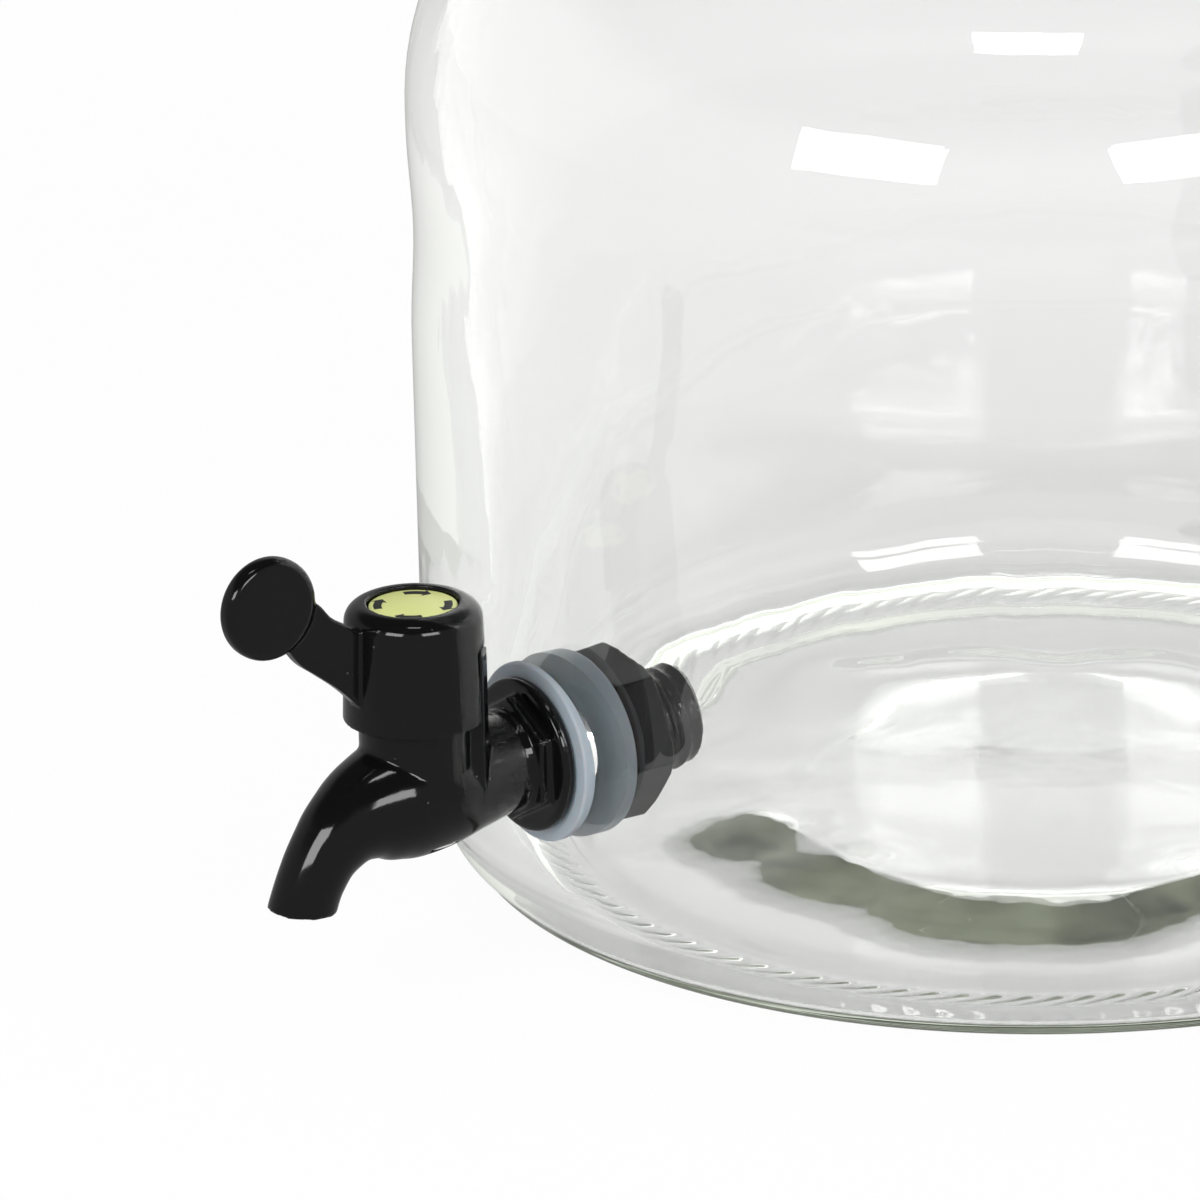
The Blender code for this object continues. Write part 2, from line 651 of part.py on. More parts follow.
def make_plug(parts, tools, pivot, plastic):
    plug = turned("valve_plug", plug_profile(), TAP_STEPS, parts, pivot)
    half = STEM_WIDTH / 2
    stem = block("stem", (-half, -half, PLUG_TOP - SINK), (half, half, STEM_TOP), tools, pivot)
    join(plug, stem)
    port = prism("port", PORT_RADIUS, -PLUG_RADIUS - CUT_OVERRUN, PLUG_RADIUS + CUT_OVERRUN, SMALL_STEPS, tools, pivot)
    port.location.z = PORT_HEIGHT
    port.rotation_euler.x = math.radians(90)
    cut(plug, port)
    pilot_bottom = SCREW_SEAT - SCREW_LENGTH - CLEARANCE
    pilot = prism(
        "pilot", SCREW_RADIUS + CLEARANCE, pilot_bottom, STEM_TOP + CUT_OVERRUN, SMALL_STEPS, tools, pivot,
    )
    cut(plug, pilot)
    return finish(plug, plastic)


def make_o_ring(name, height, parts, pivot, rubber):
    centre = CHAMBER_RADIUS - CLEARANCE - O_RING_SECTION / 2
    section = arc((centre, height), O_RING_SECTION / 2, 180, -180, 6)[:-1]
    return finish(turned(name, section, TAP_STEPS, parts, pivot), rubber)


# Handle
def cap_profile():
    """The cap's section: cone outside, bore with its snap groove, hub and label recess."""
    groove = CAP_BORE_RADIUS + BARREL_BEAD
    groove_half = BARREL_BEAD_WIDTH / 2 + CLEARANCE
    screw_hole = SCREW_RADIUS + CLEARANCE
    head_hole = SCREW_HEAD_RADIUS + CLEARANCE
    points = [(LABEL_RECESS_RADIUS, CAP_TOP)]
    points += arc((CAP_TOP_RADIUS - CAP_TOP_ROUND, CAP_TOP - CAP_TOP_ROUND), CAP_TOP_ROUND, 90, 0, 4)
    points += [(CAP_BOTTOM_RADIUS, CAP_BOTTOM), (CAP_BORE_RADIUS, CAP_BOTTOM)]
    points += [(CAP_BORE_RADIUS, BEAD_HEIGHT - groove_half - BARREL_BEAD)]
    points += [(groove, BEAD_HEIGHT - groove_half), (groove, BEAD_HEIGHT + groove_half)]
    points += [(CAP_BORE_RADIUS, BEAD_HEIGHT + groove_half + BARREL_BEAD)]
    points += [(CAP_BORE_RADIUS, CEILING), (HUB_RADIUS, CEILING), (HUB_RADIUS, HUB_BOTTOM)]
    points += [(screw_hole, HUB_BOTTOM), (screw_hole, SCREW_SEAT), (head_hole, SCREW_SEAT)]
    points += [(head_hole, LABEL_SEAT), (LABEL_RECESS_RADIUS, LABEL_SEAT)]
    return points


def make_window(tools, pivot):
    """A wedge that opens the cap's skirt from the stop rib, backwards over the travel."""
    half_rib_deg = math.degrees(math.atan2(RIB_WIDTH / 2, BARREL_RADIUS))
    first = RIB_ANGLE_DEG + half_rib_deg + OPEN_GAP_DEG
    last = RIB_ANGLE_DEG - half_rib_deg - SHUT_GAP_DEG - TURN_DEG
    reach = CAP_BOTTOM_RADIUS + CUT_OVERRUN
    steps = 8
    bm = bmesh.new()
    ring = []
    for radius, order in ((reach, range(steps + 1)), (BARREL_RADIUS, range(steps, -1, -1))):
        for i in order:
            angle = math.radians(first + (last - first) * i / steps)
            place = (radius * math.sin(angle), radius * math.cos(angle), CAP_BOTTOM - CUT_OVERRUN)
            ring.append(bm.verts.new(place))
    face = bm.faces.new(ring)
    grown = bmesh.ops.extrude_face_region(bm, geom=[face])
    lift = [item for item in grown["geom"] if isinstance(item, bmesh.types.BMVert)]
    bmesh.ops.translate(bm, verts=lift, vec=(0.0, 0.0, WINDOW_HEIGHT + CUT_OVERRUN))
    bmesh.ops.recalc_face_normals(bm, faces=bm.faces)
    mesh = bpy.data.meshes.new("stop_window")
    bm.to_mesh(mesh)
    bm.free()
    return add_object("stop_window", mesh, tools, pivot)


def lever_point(reach_share, height_share):
    rise = PADDLE_HEIGHT - CAP_BOTTOM
    return LEVER_REACH * reach_share, CAP_BOTTOM + rise * height_share


def make_arm(tools, pivot):
    """The lever's flat arm, an outline in the upright plane of the tap."""
    curve = bpy.data.curves.new("lever_arm", "CURVE")
    curve.dimensions = "2D"
    curve.fill_mode = "BOTH"
    curve.extrude = ARM_THICKNESS / 2
    curve.resolution_u = 3
    curve.render_resolution_u = 0
    shares = ARM_TOP_SHARES + ARM_BOTTOM_SHARES
    spline = curve.splines.new("BEZIER")
    spline.bezier_points.add(len(shares) - 1)
    spline.use_cyclic_u = True
    corners = (0, len(ARM_TOP_SHARES) - 1, len(ARM_TOP_SHARES), len(shares) - 1)
    for i, (knot, share) in enumerate(zip(spline.bezier_points, shares)):
        knot.co = (*lever_point(*share), 0.0)
        kind = "VECTOR" if i in corners else "AUTO"
        knot.handle_left_type = kind
        knot.handle_right_type = kind
    arm = add_object("lever_arm", curve, tools, pivot)
    upright = Matrix.Rotation(math.radians(90), 4, "X")
    arm.matrix_local = Matrix.Rotation(math.radians(-90), 4, "Z") @ upright
    return as_mesh(arm, tools)


def make_paddle(tools, pivot):
    paddle = prism(
        "paddle", PADDLE_RADIUS, -PADDLE_THICKNESS / 2, PADDLE_THICKNESS / 2, TAP_STEPS, tools, pivot,
    )
    soften = paddle.modifiers.new("Round", "BEVEL")
    soften.width = PADDLE_ROUND
    soften.segments = 3
    soften.limit_method = "ANGLE"
    paddle.location = (0.0, -LEVER_REACH, PADDLE_HEIGHT)
    paddle.rotation_euler.y = math.radians(90)
    return paddle


def make_handle(parts, tools, pivot, plastic):
    handle = turned("tap_handle", cap_profile(), TAP_STEPS, parts, pivot)
    join(handle, make_arm(tools, pivot))
    join(handle, make_paddle(tools, pivot))
    cut(handle, make_window(tools, pivot))
    half = STEM_WIDTH / 2 + CLEARANCE
    low = (-half, -half, HUB_BOTTOM - CUT_OVERRUN)
    cut(handle, block("socket", low, (half, half, SOCKET_TOP), tools, pivot))
    return finish(handle, plastic)


def make_screw(parts, tools, pivot, steel):
    seat = SCREW_SEAT + CLEARANCE
    head_top = seat + SCREW_HEAD_HEIGHT - CLEARANCE
    tip = SCREW_SEAT - SCREW_LENGTH
    points = [(0.0, head_top), (SCREW_HEAD_RADIUS - SINK, head_top)]
    points += [(SCREW_HEAD_RADIUS, head_top - SINK), (SCREW_HEAD_RADIUS, seat)]
    points += [(SCREW_RADIUS, seat), (SCREW_RADIUS, tip + SCREW_RADIUS), (0.0, tip)]
    screw = turned("handle_screw", points, SMALL_STEPS, parts, pivot)
    half = SCREW_SLOT_WIDTH / 2
    reach = SCREW_HEAD_RADIUS - SINK
    bottom = head_top - SCREW_SLOT_DEPTH
    top = head_top + CUT_OVERRUN
    for i, (x, y) in enumerate(((reach, half), (half, reach))):
        cut(screw, block(f"screw_slot_{i}", (-x, -y, bottom), (x, y, top), tools, pivot))
    return finish(screw, steel)


def make_label(parts, pivot, paper):
    radius = LABEL_RECESS_RADIUS - CLEARANCE
    bottom = LABEL_SEAT + CLEARANCE
    return finish(prism("label_disc", radius, bottom, bottom + LABEL_THICKNESS, TAP_STEPS, parts, pivot), paper)


def main():
    clear_scene()
    parts = make_collection("drink_dispenser")
    tools = make_collection("cutters")
    glass = make_material("glass", (0.90, 0.93, 0.91), 0.02, alpha=0.35)
    black = make_material("black_plastic", (0.012, 0.012, 0.013), 0.16)
    silicone = make_material("silicone", (0.62, 0.68, 0.73), 0.35)
    rubber = make_material("rubber", (0.03, 0.03, 0.03), 0.6)
    white = make_material("plug_plastic", (0.75, 0.75, 0.73), 0.4)
    steel = make_material("screw_steel", (0.62, 0.62, 0.64), 0.3, metallic=1.0)
    label = make_material("label", (0.80, 0.84, 0.33), 0.45)

    frame = add_object("jar_axis", None, parts)
    frame.location = (0.0, JAR_AXIS_Y, 0.0)
    tap_frame = add_object("tap_axis", None, parts, frame)
    tap_frame.location = (0.0, 0.0, TAP_HEIGHT)
    tap_frame.rotation_euler.x = math.radians(90)
    pivot = add_object("handle_pivot", None, parts, frame)
    pivot.location = (0.0, -BARREL_AXIS, 0.0)
    bpy.context.view_layer.update()

    make_jar(parts, tools, frame, tap_frame, glass)
    make_lid(parts, frame, glass, silicone)
    make_washers(parts, tools, frame, tap_frame, silicone)
    make_nut(parts, tools, tap_frame, black)
    make_tap_body(parts, tools, tap_frame, pivot, black)
    make_plug(parts, tools, pivot, white)
    make_o_ring("upper_o_ring", PORT_HEIGHT + O_RING_FROM_PORT, parts, pivot, rubber)
    make_o_ring("lower_o_ring", PORT_HEIGHT - O_RING_FROM_PORT, parts, pivot, rubber)
    make_handle(parts, tools, pivot, black)
    make_screw(parts, tools, pivot, steel)
    make_label(parts, pivot, label)


main()
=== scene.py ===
# %% [markdown]
# # Glass drink dispenser
# A clear glass jar with a black plastic tap through its wall. The CAD model is the frame: every
# piece here sits where the CAD has it, so places are read from it and none is fitted by eye.
# The glass is the hard part. It shows only what it bends and mirrors, so its inner and outer
# walls are both modelled.

# %% Load the frame
import math

import bmesh
import bpy
import numpy as np
from mathutils import Matrix, Vector


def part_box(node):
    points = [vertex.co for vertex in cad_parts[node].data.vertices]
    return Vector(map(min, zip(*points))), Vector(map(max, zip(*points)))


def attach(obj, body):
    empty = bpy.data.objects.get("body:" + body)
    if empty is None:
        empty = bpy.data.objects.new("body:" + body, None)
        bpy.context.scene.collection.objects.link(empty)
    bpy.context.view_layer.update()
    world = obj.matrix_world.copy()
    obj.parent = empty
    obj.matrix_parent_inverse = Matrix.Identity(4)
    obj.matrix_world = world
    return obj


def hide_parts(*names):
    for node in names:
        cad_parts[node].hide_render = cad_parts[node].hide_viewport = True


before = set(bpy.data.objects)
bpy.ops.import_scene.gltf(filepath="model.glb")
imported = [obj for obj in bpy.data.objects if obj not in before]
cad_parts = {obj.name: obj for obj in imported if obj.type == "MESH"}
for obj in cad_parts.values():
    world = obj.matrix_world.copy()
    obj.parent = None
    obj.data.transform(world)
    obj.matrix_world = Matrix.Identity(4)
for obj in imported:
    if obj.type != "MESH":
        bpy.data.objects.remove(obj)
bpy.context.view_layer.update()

# %% [markdown]
# ## Where things are
# Sizes are written in millimetres, as a maker gives them, and MM turns them into metres. The jar
# is upright on its own axis, and the tap lies level and points along -Y. Three placements are
# enough for nearly every piece: upright at the jar, along the tap, and upright at the valve.
# Along the tap, a height is a distance from the jar's axis towards the front.

# %% Axes
MM = 0.001
GAP = 0.3 * MM
OVERRUN = 2 * MM


def middle(node, axis):
    """The middle of a CAD node's box along one axis."""
    low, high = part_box(node)
    return (low[axis] + high[axis]) / 2


JAR_AXIS = Vector((0.0, middle("glass_jar", 1), 0.0))
JAR_RADIUS = (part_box("glass_jar")[1][0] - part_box("glass_jar")[0][0]) / 2
TAP_HEIGHT = middle("lock_nut", 2)
PIVOT = Vector((0.0, middle("valve_plug", 1), 0.0))
UPRIGHT_AT_JAR = Matrix.Translation(JAR_AXIS)
UPRIGHT_AT_VALVE = Matrix.Translation(PIVOT)
ALONG_TAP = Matrix.Translation(JAR_AXIS + Vector((0, 0, TAP_HEIGHT)))
ALONG_TAP = ALONG_TAP @ Matrix.Rotation(math.radians(90), 4, "X")
print("jar axis", JAR_AXIS, "radius", JAR_RADIUS, "tap height", TAP_HEIGHT)

# %% [markdown]
# ## Camera
# The photograph was taken from far away with a long lens, about 21 degrees above the jar. The
# picture is cropped to the jar's lower left. A lens shift could do that, but the camera simply
# aims well left of the jar's axis: from so far away the two look alike.

# %% Camera
CAMERA_AZIMUTH_DEG = 51.6
CAMERA_DISTANCE = 1442 * MM
CAMERA_HEIGHT = 562.9 * MM
CAMERA_ROLL_DEG = -1.374
CAMERA_REACH = 20.0
AIM_LEFT = 73.2 * MM
AIM_HEIGHT = 38.8 * MM
SENSOR_WIDTH_MM = 36.0
FOCAL_LENGTH_MM = 278.49


def make_camera():
    azimuth = math.radians(CAMERA_AZIMUTH_DEG)
    towards_camera = Vector((math.sin(azimuth), -math.cos(azimuth), 0.0))
    to_the_right = Vector((math.cos(azimuth), math.sin(azimuth), 0.0))
    eye = JAR_AXIS + towards_camera * CAMERA_DISTANCE + Vector((0, 0, CAMERA_HEIGHT))
    aim = JAR_AXIS - to_the_right * AIM_LEFT + Vector((0, 0, AIM_HEIGHT))
    turn = (eye - aim).to_track_quat("Z", "Y").to_matrix()
    turn = turn @ Matrix.Rotation(math.radians(CAMERA_ROLL_DEG), 3, "Z")
    data = bpy.data.cameras.new("camera")
    data.sensor_width = SENSOR_WIDTH_MM
    data.lens = FOCAL_LENGTH_MM
    data.clip_end = CAMERA_REACH
    camera = bpy.data.objects.new("camera", data)
    bpy.context.scene.collection.objects.link(camera)
    camera.matrix_world = Matrix.Translation(eye) @ turn.to_4x4()
    bpy.context.scene.camera = camera
    return camera


print("camera at", make_camera().location)

# %% [markdown]
# ## Node helpers
# A material is a graph of nodes. Written out in full, each node takes four or five lines, so
# these helpers add a node and set its inputs in one. An input takes a plain value or another
# node's output. They work in materials, in the world and in Geometry Nodes alike.

# %% Node helpers


def set_input(tree, socket, value):
    if isinstance(value, bpy.types.NodeSocket):
        tree.links.new(value, socket)
    else:
        socket.default_value = value


def add_node(tree, kind, **inputs):
    """A node with its inputs set. A blank in an input's name is written as a low line."""
    node = tree.nodes.new(kind)
    for label, value in inputs.items():
        set_input(tree, node.inputs[label.replace("_", " ")], value)
    return node


def math_node(tree, operation, *values):
    node = tree.nodes.new("ShaderNodeMath")
    node.operation = operation
    for socket, value in zip(node.inputs, values):
        set_input(tree, socket, value)
    return node.outputs[0]


def colour_mix(tree, factor, first, second):
    """From the first colour at a factor of 0 to the second at 1."""
    node = tree.nodes.new("ShaderNodeMix")
    node.data_type = "RGBA"
    for label, value in (("Factor", factor), ("A", first), ("B", second)):
        set_input(tree, node.inputs[label], (*value, 1.0) if isinstance(value, tuple) else value)
    return node.outputs["Result"]


print("helpers for", math_node.__name__, "and", colour_mix.__name__)

# %% [markdown]
# ## White surroundings
# The photograph is on pure white. More light would reach that white, but it would also wash out
# the object. So the floor and the world have plain, moderate colours for the light that they
# give, and only what is seen of them is white: by the camera, through the glass, and mirrored.
# What a polished surface mirrors is a little grey, as in a real room. The glass shows less of
# the floor's white than the camera does, which leaves it a soft shadow under the jar.

# %% What is seen as white
MIRRORED_GREY = 0.38


def seen_shares(tree, share, share_in_glass):
    """How white a surface is for each kind of ray, and whether a ray comes from a mirror."""
    path = tree.nodes.new("ShaderNodeLightPath")
    through_glass = path.outputs["Is Transmission Ray"]
    mirrored = math_node(tree, "SUBTRACT", path.outputs["Is Glossy Ray"], through_glass)
    mirrored.node.use_clamp = True
    straight = math_node(tree, "MULTIPLY", path.outputs["Is Camera Ray"], share)
    bent = math_node(tree, "MULTIPLY", through_glass, share_in_glass)
    seen = math_node(tree, "MAXIMUM", math_node(tree, "MAXIMUM", straight, bent), mirrored)
    return seen, mirrored


def grey_when_mirrored(tree, mirrored):
    level = add_node(tree, "ShaderNodeMapRange", Value=mirrored, To_Min=1.0, To_Max=MIRRORED_GREY)
    return level.outputs["Result"]


print("mirrored white is", MIRRORED_GREY)

# %% [markdown]
# ### Floor
# One wide sheet is enough, because the world behind it is white too and no edge shows. It mixes
# plain diffuse white, which catches the shadow, with an even white of strength 1.

# %% Floor
FLOOR_SIZE = 6.0
FLOOR_COLOUR = 0.96
FLOOR_WHITE_SHARE = 0.95
FLOOR_SHARE_IN_GLASS = 0.40


def floor_material():
    material = bpy.data.materials.new("white_floor")
    material.use_nodes = True
    tree = material.node_tree
    tree.nodes.clear()
    seen, mirrored = seen_shares(tree, FLOOR_WHITE_SHARE, FLOOR_SHARE_IN_GLASS)
    plain = add_node(tree, "ShaderNodeBsdfDiffuse", Color=(*[FLOOR_COLOUR] * 3, 1.0))
    white = add_node(tree, "ShaderNodeEmission", Color=grey_when_mirrored(tree, mirrored))
    mix = add_node(tree, "ShaderNodeMixShader", Fac=seen)
    set_input(tree, mix.inputs[1], plain.outputs[0])
    set_input(tree, mix.inputs[2], white.outputs[0])
    add_node(tree, "ShaderNodeOutputMaterial", Surface=mix.outputs[0])
    return material


def make_floor():
    half = FLOOR_SIZE / 2
    corners = [(-half, -half, 0), (half, -half, 0), (half, half, 0), (-half, half, 0)]
    mesh = bpy.data.meshes.new("floor")
    mesh.from_pydata(corners, [], [(0, 1, 2, 3)])
    mesh.materials.append(floor_material())
    floor = bpy.data.objects.new("floor", mesh)
    bpy.context.scene.collection.objects.link(floor)
    return floor


print("floor", make_floor().dimensions)

# %% [markdown]
# ### World
# The white ends some way up, and the room above it is darker. The camera never sees that, but the
# thick base of the jar mirrors it, and the glass gets its grey tones from there. A map on the
# height of the ray's direction makes the change, smooth enough to leave no line in the glass.

# %% World
WORLD_GREY = 0.58
ROOM_GREY = 0.14
ROOM_START_DEG = 22.0
ROOM_FULL_DEG = 40.0


def room_level(tree):
    """White low down and the room's grey high up. The camera sees it as white everywhere."""
    direction = tree.nodes.new("ShaderNodeTexCoord").outputs["Generated"]
    height = add_node(tree, "ShaderNodeSeparateXYZ", Vector=direction).outputs["Z"]
    room = add_node(
        tree, "ShaderNodeMapRange", Value=height, To_Min=1.0, To_Max=ROOM_GREY,
        From_Min=math.sin(math.radians(ROOM_START_DEG)),
        From_Max=math.sin(math.radians(ROOM_FULL_DEG)),
    )
    room.interpolation_type = "SMOOTHSTEP"
    path = tree.nodes.new("ShaderNodeLightPath")
    return math_node(tree, "MAXIMUM", room.outputs["Result"], path.outputs["Is Camera Ray"])


def make_world():
    world = bpy.data.worlds.new("studio")
    bpy.context.scene.world = world
    world.use_nodes = True
    tree = world.node_tree
    tree.nodes.clear()
    seen, mirrored = seen_shares(tree, 1.0, 1.0)
    plain = add_node(tree, "ShaderNodeBackground", Color=(*[WORLD_GREY] * 3, 1.0))
    white = add_node(
        tree, "ShaderNodeBackground", Color=room_level(tree),
        Strength=grey_when_mirrored(tree, mirrored),
    )
    mix = add_node(tree, "ShaderNodeMixShader", Fac=seen)
    set_input(tree, mix.inputs[1], plain.outputs[0])
    set_input(tree, mix.inputs[2], white.outputs[0])
    add_node(tree, "ShaderNodeOutputWorld", Surface=mix.outputs[0])
    return world


bpy.context.scene.view_settings.view_transform = "Standard"
print("world", make_world().name)

# %% [markdown]
# ### Lamps
# Two window-shaped lamps and a small one overhead stand where the photograph's highlights on the
# shoulder put them. Area lamps suit this: their own outline is what the glass mirrors.

# %% Lamps
LAMP_DISTANCE = 1.7
LAMP_AIM_HEIGHT = 120 * MM
# Azimuth and elevation in degrees, width and height in metres, power in watts
LAMPS = {
    "left_window": (20.0, 24.0, 0.76, 0.42, 11.0),
    "right_window": (80.5, 24.5, 0.80, 0.42, 11.0),
    "ceiling_panel": (46.5, 72.0, 0.42, 0.14, 2.0),
}


def make_lamp(name, azimuth_deg, elevation_deg, width, height, power):
    """A rectangular lamp that looks at the jar from an azimuth and an elevation."""
    azimuth = math.radians(azimuth_deg)
    level = math.cos(math.radians(elevation_deg))
    up = math.sin(math.radians(elevation_deg))
    towards = Vector((math.sin(azimuth) * level, -math.cos(azimuth) * level, up))
    data = bpy.data.lights.new(name, "AREA")
    data.shape = "RECTANGLE"
    data.size = width
    data.size_y = height
    data.energy = power
    lamp = bpy.data.objects.new(name, data)
    bpy.context.scene.collection.objects.link(lamp)
    lamp.location = JAR_AXIS + Vector((0, 0, LAMP_AIM_HEIGHT)) + towards * LAMP_DISTANCE
    lamp.rotation_euler = towards.to_track_quat("Z", "Y").to_euler()
    return lamp


for name, values in LAMPS.items():
    print("lamp", name, make_lamp(name, *values).location)

# %% [markdown]
# ## Moulded plastic
# The tap's mouldings, the washers and the small parts share the same marks: a fine grain, faint
# waves where the plastic flowed, and a few specks of dust. They could be copied into each
# material, but a node group holds them once. Everything in it comes from Object coordinates, so
# the marks stay put when a piece moves.

# %% Moulding marks
GRAIN_DETAIL = 3.0
FLOW_DETAIL = 1.0


def moulding_marks_group():
    tree = bpy.data.node_groups.new("moulding_marks", "ShaderNodeTree")
    for label in ("Grain Scale", "Wave Scale", "Dust Scale", "Dust Amount"):
        tree.interface.new_socket(label, in_out="INPUT", socket_type="NodeSocketFloat")
    for label in ("Grain", "Waves", "Dust"):
        tree.interface.new_socket(label, in_out="OUTPUT", socket_type="NodeSocketFloat")
    given = tree.nodes.new("NodeGroupInput").outputs
    place = tree.nodes.new("ShaderNodeTexCoord").outputs["Object"]
    grain = add_node(
        tree, "ShaderNodeTexNoise", Vector=place, Scale=given["Grain Scale"], Detail=GRAIN_DETAIL,
    )
    waves = add_node(
        tree, "ShaderNodeTexNoise", Vector=place, Scale=given["Wave Scale"], Detail=FLOW_DETAIL,
    )
    dust = add_node(tree, "ShaderNodeTexVoronoi", Vector=place, Scale=given["Dust Scale"])
    specks = math_node(tree, "LESS_THAN", dust.outputs["Distance"], given["Dust Amount"])
    add_node(
        tree, "NodeGroupOutput", Grain=grain.outputs["Fac"], Waves=waves.outputs["Fac"],
        Dust=specks,
    )
    return tree


moulding_marks = moulding_marks_group()
print("shared group", moulding_marks.name, "with", len(moulding_marks.nodes), "nodes")

# %% [markdown]
# Each finish is one Principled shader. What is the same all over is set on the shader's own
# socket. The marks change its colour, its roughness and, through a Bump node, its relief.

# %% Plastic
GRAIN_SCALE = 2600.0
FLOW_SCALE = 130.0
DUST_SCALE = 260.0
DUST_AMOUNT = 0.045
GRAIN_SHARE = 0.12
RELIEF_HEIGHT = 0.05 * MM


def new_material(name, colour, roughness, **sockets):
    """A material with plain values on the Principled shader's own sockets."""
    material = bpy.data.materials.new(name)
    material.use_nodes = True
    shader = material.node_tree.nodes["Principled BSDF"]
    shader.inputs["Base Color"].default_value = (*colour, 1.0)
    shader.inputs["Roughness"].default_value = roughness
    for label, value in sockets.items():
        shader.inputs[label.replace("_", " ")].default_value = value
    return material, shader


def moulded_plastic(name, colour, dust, roughness, spread, bump, **sockets):
    """A moulded finish with its colour, its dust's colour, its gloss and its relief."""
    material, shader = new_material(name, colour, roughness, **sockets)
    tree = material.node_tree
    marks = tree.nodes.new("ShaderNodeGroup")
    marks.node_tree = moulding_marks
    marks.inputs["Grain Scale"].default_value = GRAIN_SCALE
    marks.inputs["Wave Scale"].default_value = FLOW_SCALE
    marks.inputs["Dust Scale"].default_value = DUST_SCALE
    marks.inputs["Dust Amount"].default_value = DUST_AMOUNT
    grain, waves, specks = marks.outputs
    gloss = add_node(
        tree, "ShaderNodeMapRange", Value=grain, To_Min=roughness - spread,
        To_Max=roughness + spread,
    )
    height = math_node(tree, "MULTIPLY_ADD", grain, GRAIN_SHARE, waves)
    relief = add_node(
        tree, "ShaderNodeBump", Strength=bump, Distance=RELIEF_HEIGHT, Height=height,
    )
    set_input(tree, shader.inputs["Base Color"], colour_mix(tree, specks, colour, dust))
    set_input(tree, shader.inputs["Roughness"], gloss.outputs["Result"])
    set_input(tree, shader.inputs["Normal"], relief.outputs["Normal"])
    return material


black_plastic = moulded_plastic(
    "black_plastic", (0.0035, 0.0035, 0.0038), (0.06, 0.06, 0.06),
    roughness=0.085, spread=0.02, bump=0.25, Specular_IOR_Level=0.32,
)
print("tap finish", black_plastic.name)

# %% [markdown]
# The other small parts take the same recipe with other values. The nut is duller than the tap.
# The silicone of the washers lets some light in under its surface, which softens its edges. The
# washer inside the glass is a little darker and glossier than the one outside.

# %% Other finishes
SILICONE = {"IOR": 1.41, "Subsurface_Weight": 0.3, "Subsurface_Scale": 3 * MM}

nut_plastic = moulded_plastic(
    "nut_plastic", (0.0045, 0.0045, 0.005), (0.03, 0.03, 0.03),
    roughness=0.34, spread=0.06, bump=0.5, Specular_IOR_Level=0.15,
)
silicone = moulded_plastic(
    "silicone", (0.33, 0.38, 0.42), (0.5, 0.52, 0.54),
    roughness=0.45, spread=0.05, bump=0.4, Specular_IOR_Level=0.15, **SILICONE,
)
wet_silicone = moulded_plastic(
    "wet_silicone", (0.30, 0.35, 0.39), (0.4, 0.42, 0.45),
    roughness=0.38, spread=0.05, bump=0.4, **SILICONE,
)
plug_plastic = moulded_plastic(
    "plug_plastic", (0.75, 0.75, 0.73), (0.5, 0.5, 0.48), roughness=0.4, spread=0.05, bump=0.4,
)
rubber = moulded_plastic(
    "rubber", (0.02, 0.02, 0.02), (0.06, 0.06, 0.06), roughness=0.6, spread=0.08, bump=0.5,
)
steel = moulded_plastic(
    "screw_steel", (0.62, 0.62, 0.64), (0.3, 0.3, 0.3),
    roughness=0.3, spread=0.08, bump=0.5, Metallic=1.0,
)
label_print = moulded_plastic(
    "label_print", (0.76, 0.80, 0.30), (0.5, 0.5, 0.3), roughness=0.38, spread=0.05, bump=0.25,
)
arrow_ink = moulded_plastic(
    "arrow_ink", (0.008, 0.008, 0.006), (0.05, 0.05, 0.04), roughness=0.5, spread=0.05, bump=0.2,
)
print("finishes", len(bpy.data.materials))

# %% [markdown]
# ## The ring of ribs
# Under the jar's edge is a ring of short slanted ribs, pressed into the glass so that a hot jar
# doesn't stick. They are crisp on one side of the ring and nearly flat on the other. The rule
# for them is written once, with math nodes: the same rule shapes the mesh in Geometry Nodes
# later on, and tells the glass material where to paint shade on the ribs' tips.

# %% Rib pattern
RIB_PATTERN = {
    "Count": 108.0,
    "Slant": 14.0,
    "Rib Radius": 85.0 * MM,
    "Rib Length": 2.2 * MM,
    "Crisp Side": math.radians(-38.0),
    "Flat Share": 0.15,
}


def length(tree, a, b):
    squares = math_node(tree, "ADD", *(math_node(tree, "MULTIPLY", v, v) for v in (a, b)))
    return math_node(tree, "SQRT", squares)


def around_jar(tree, place):
    """How far a place is from the jar's axis, and its x, y and z from the axis's foot."""
    from_axis = tree.nodes.new("ShaderNodeVectorMath")
    from_axis.operation = "SUBTRACT"
    set_input(tree, from_axis.inputs[0], place)
    set_input(tree, from_axis.inputs[1], JAR_AXIS)
    x, y, z = add_node(tree, "ShaderNodeSeparateXYZ", Vector=from_axis.outputs[0]).outputs
    return length(tree, x, y), x, y, z


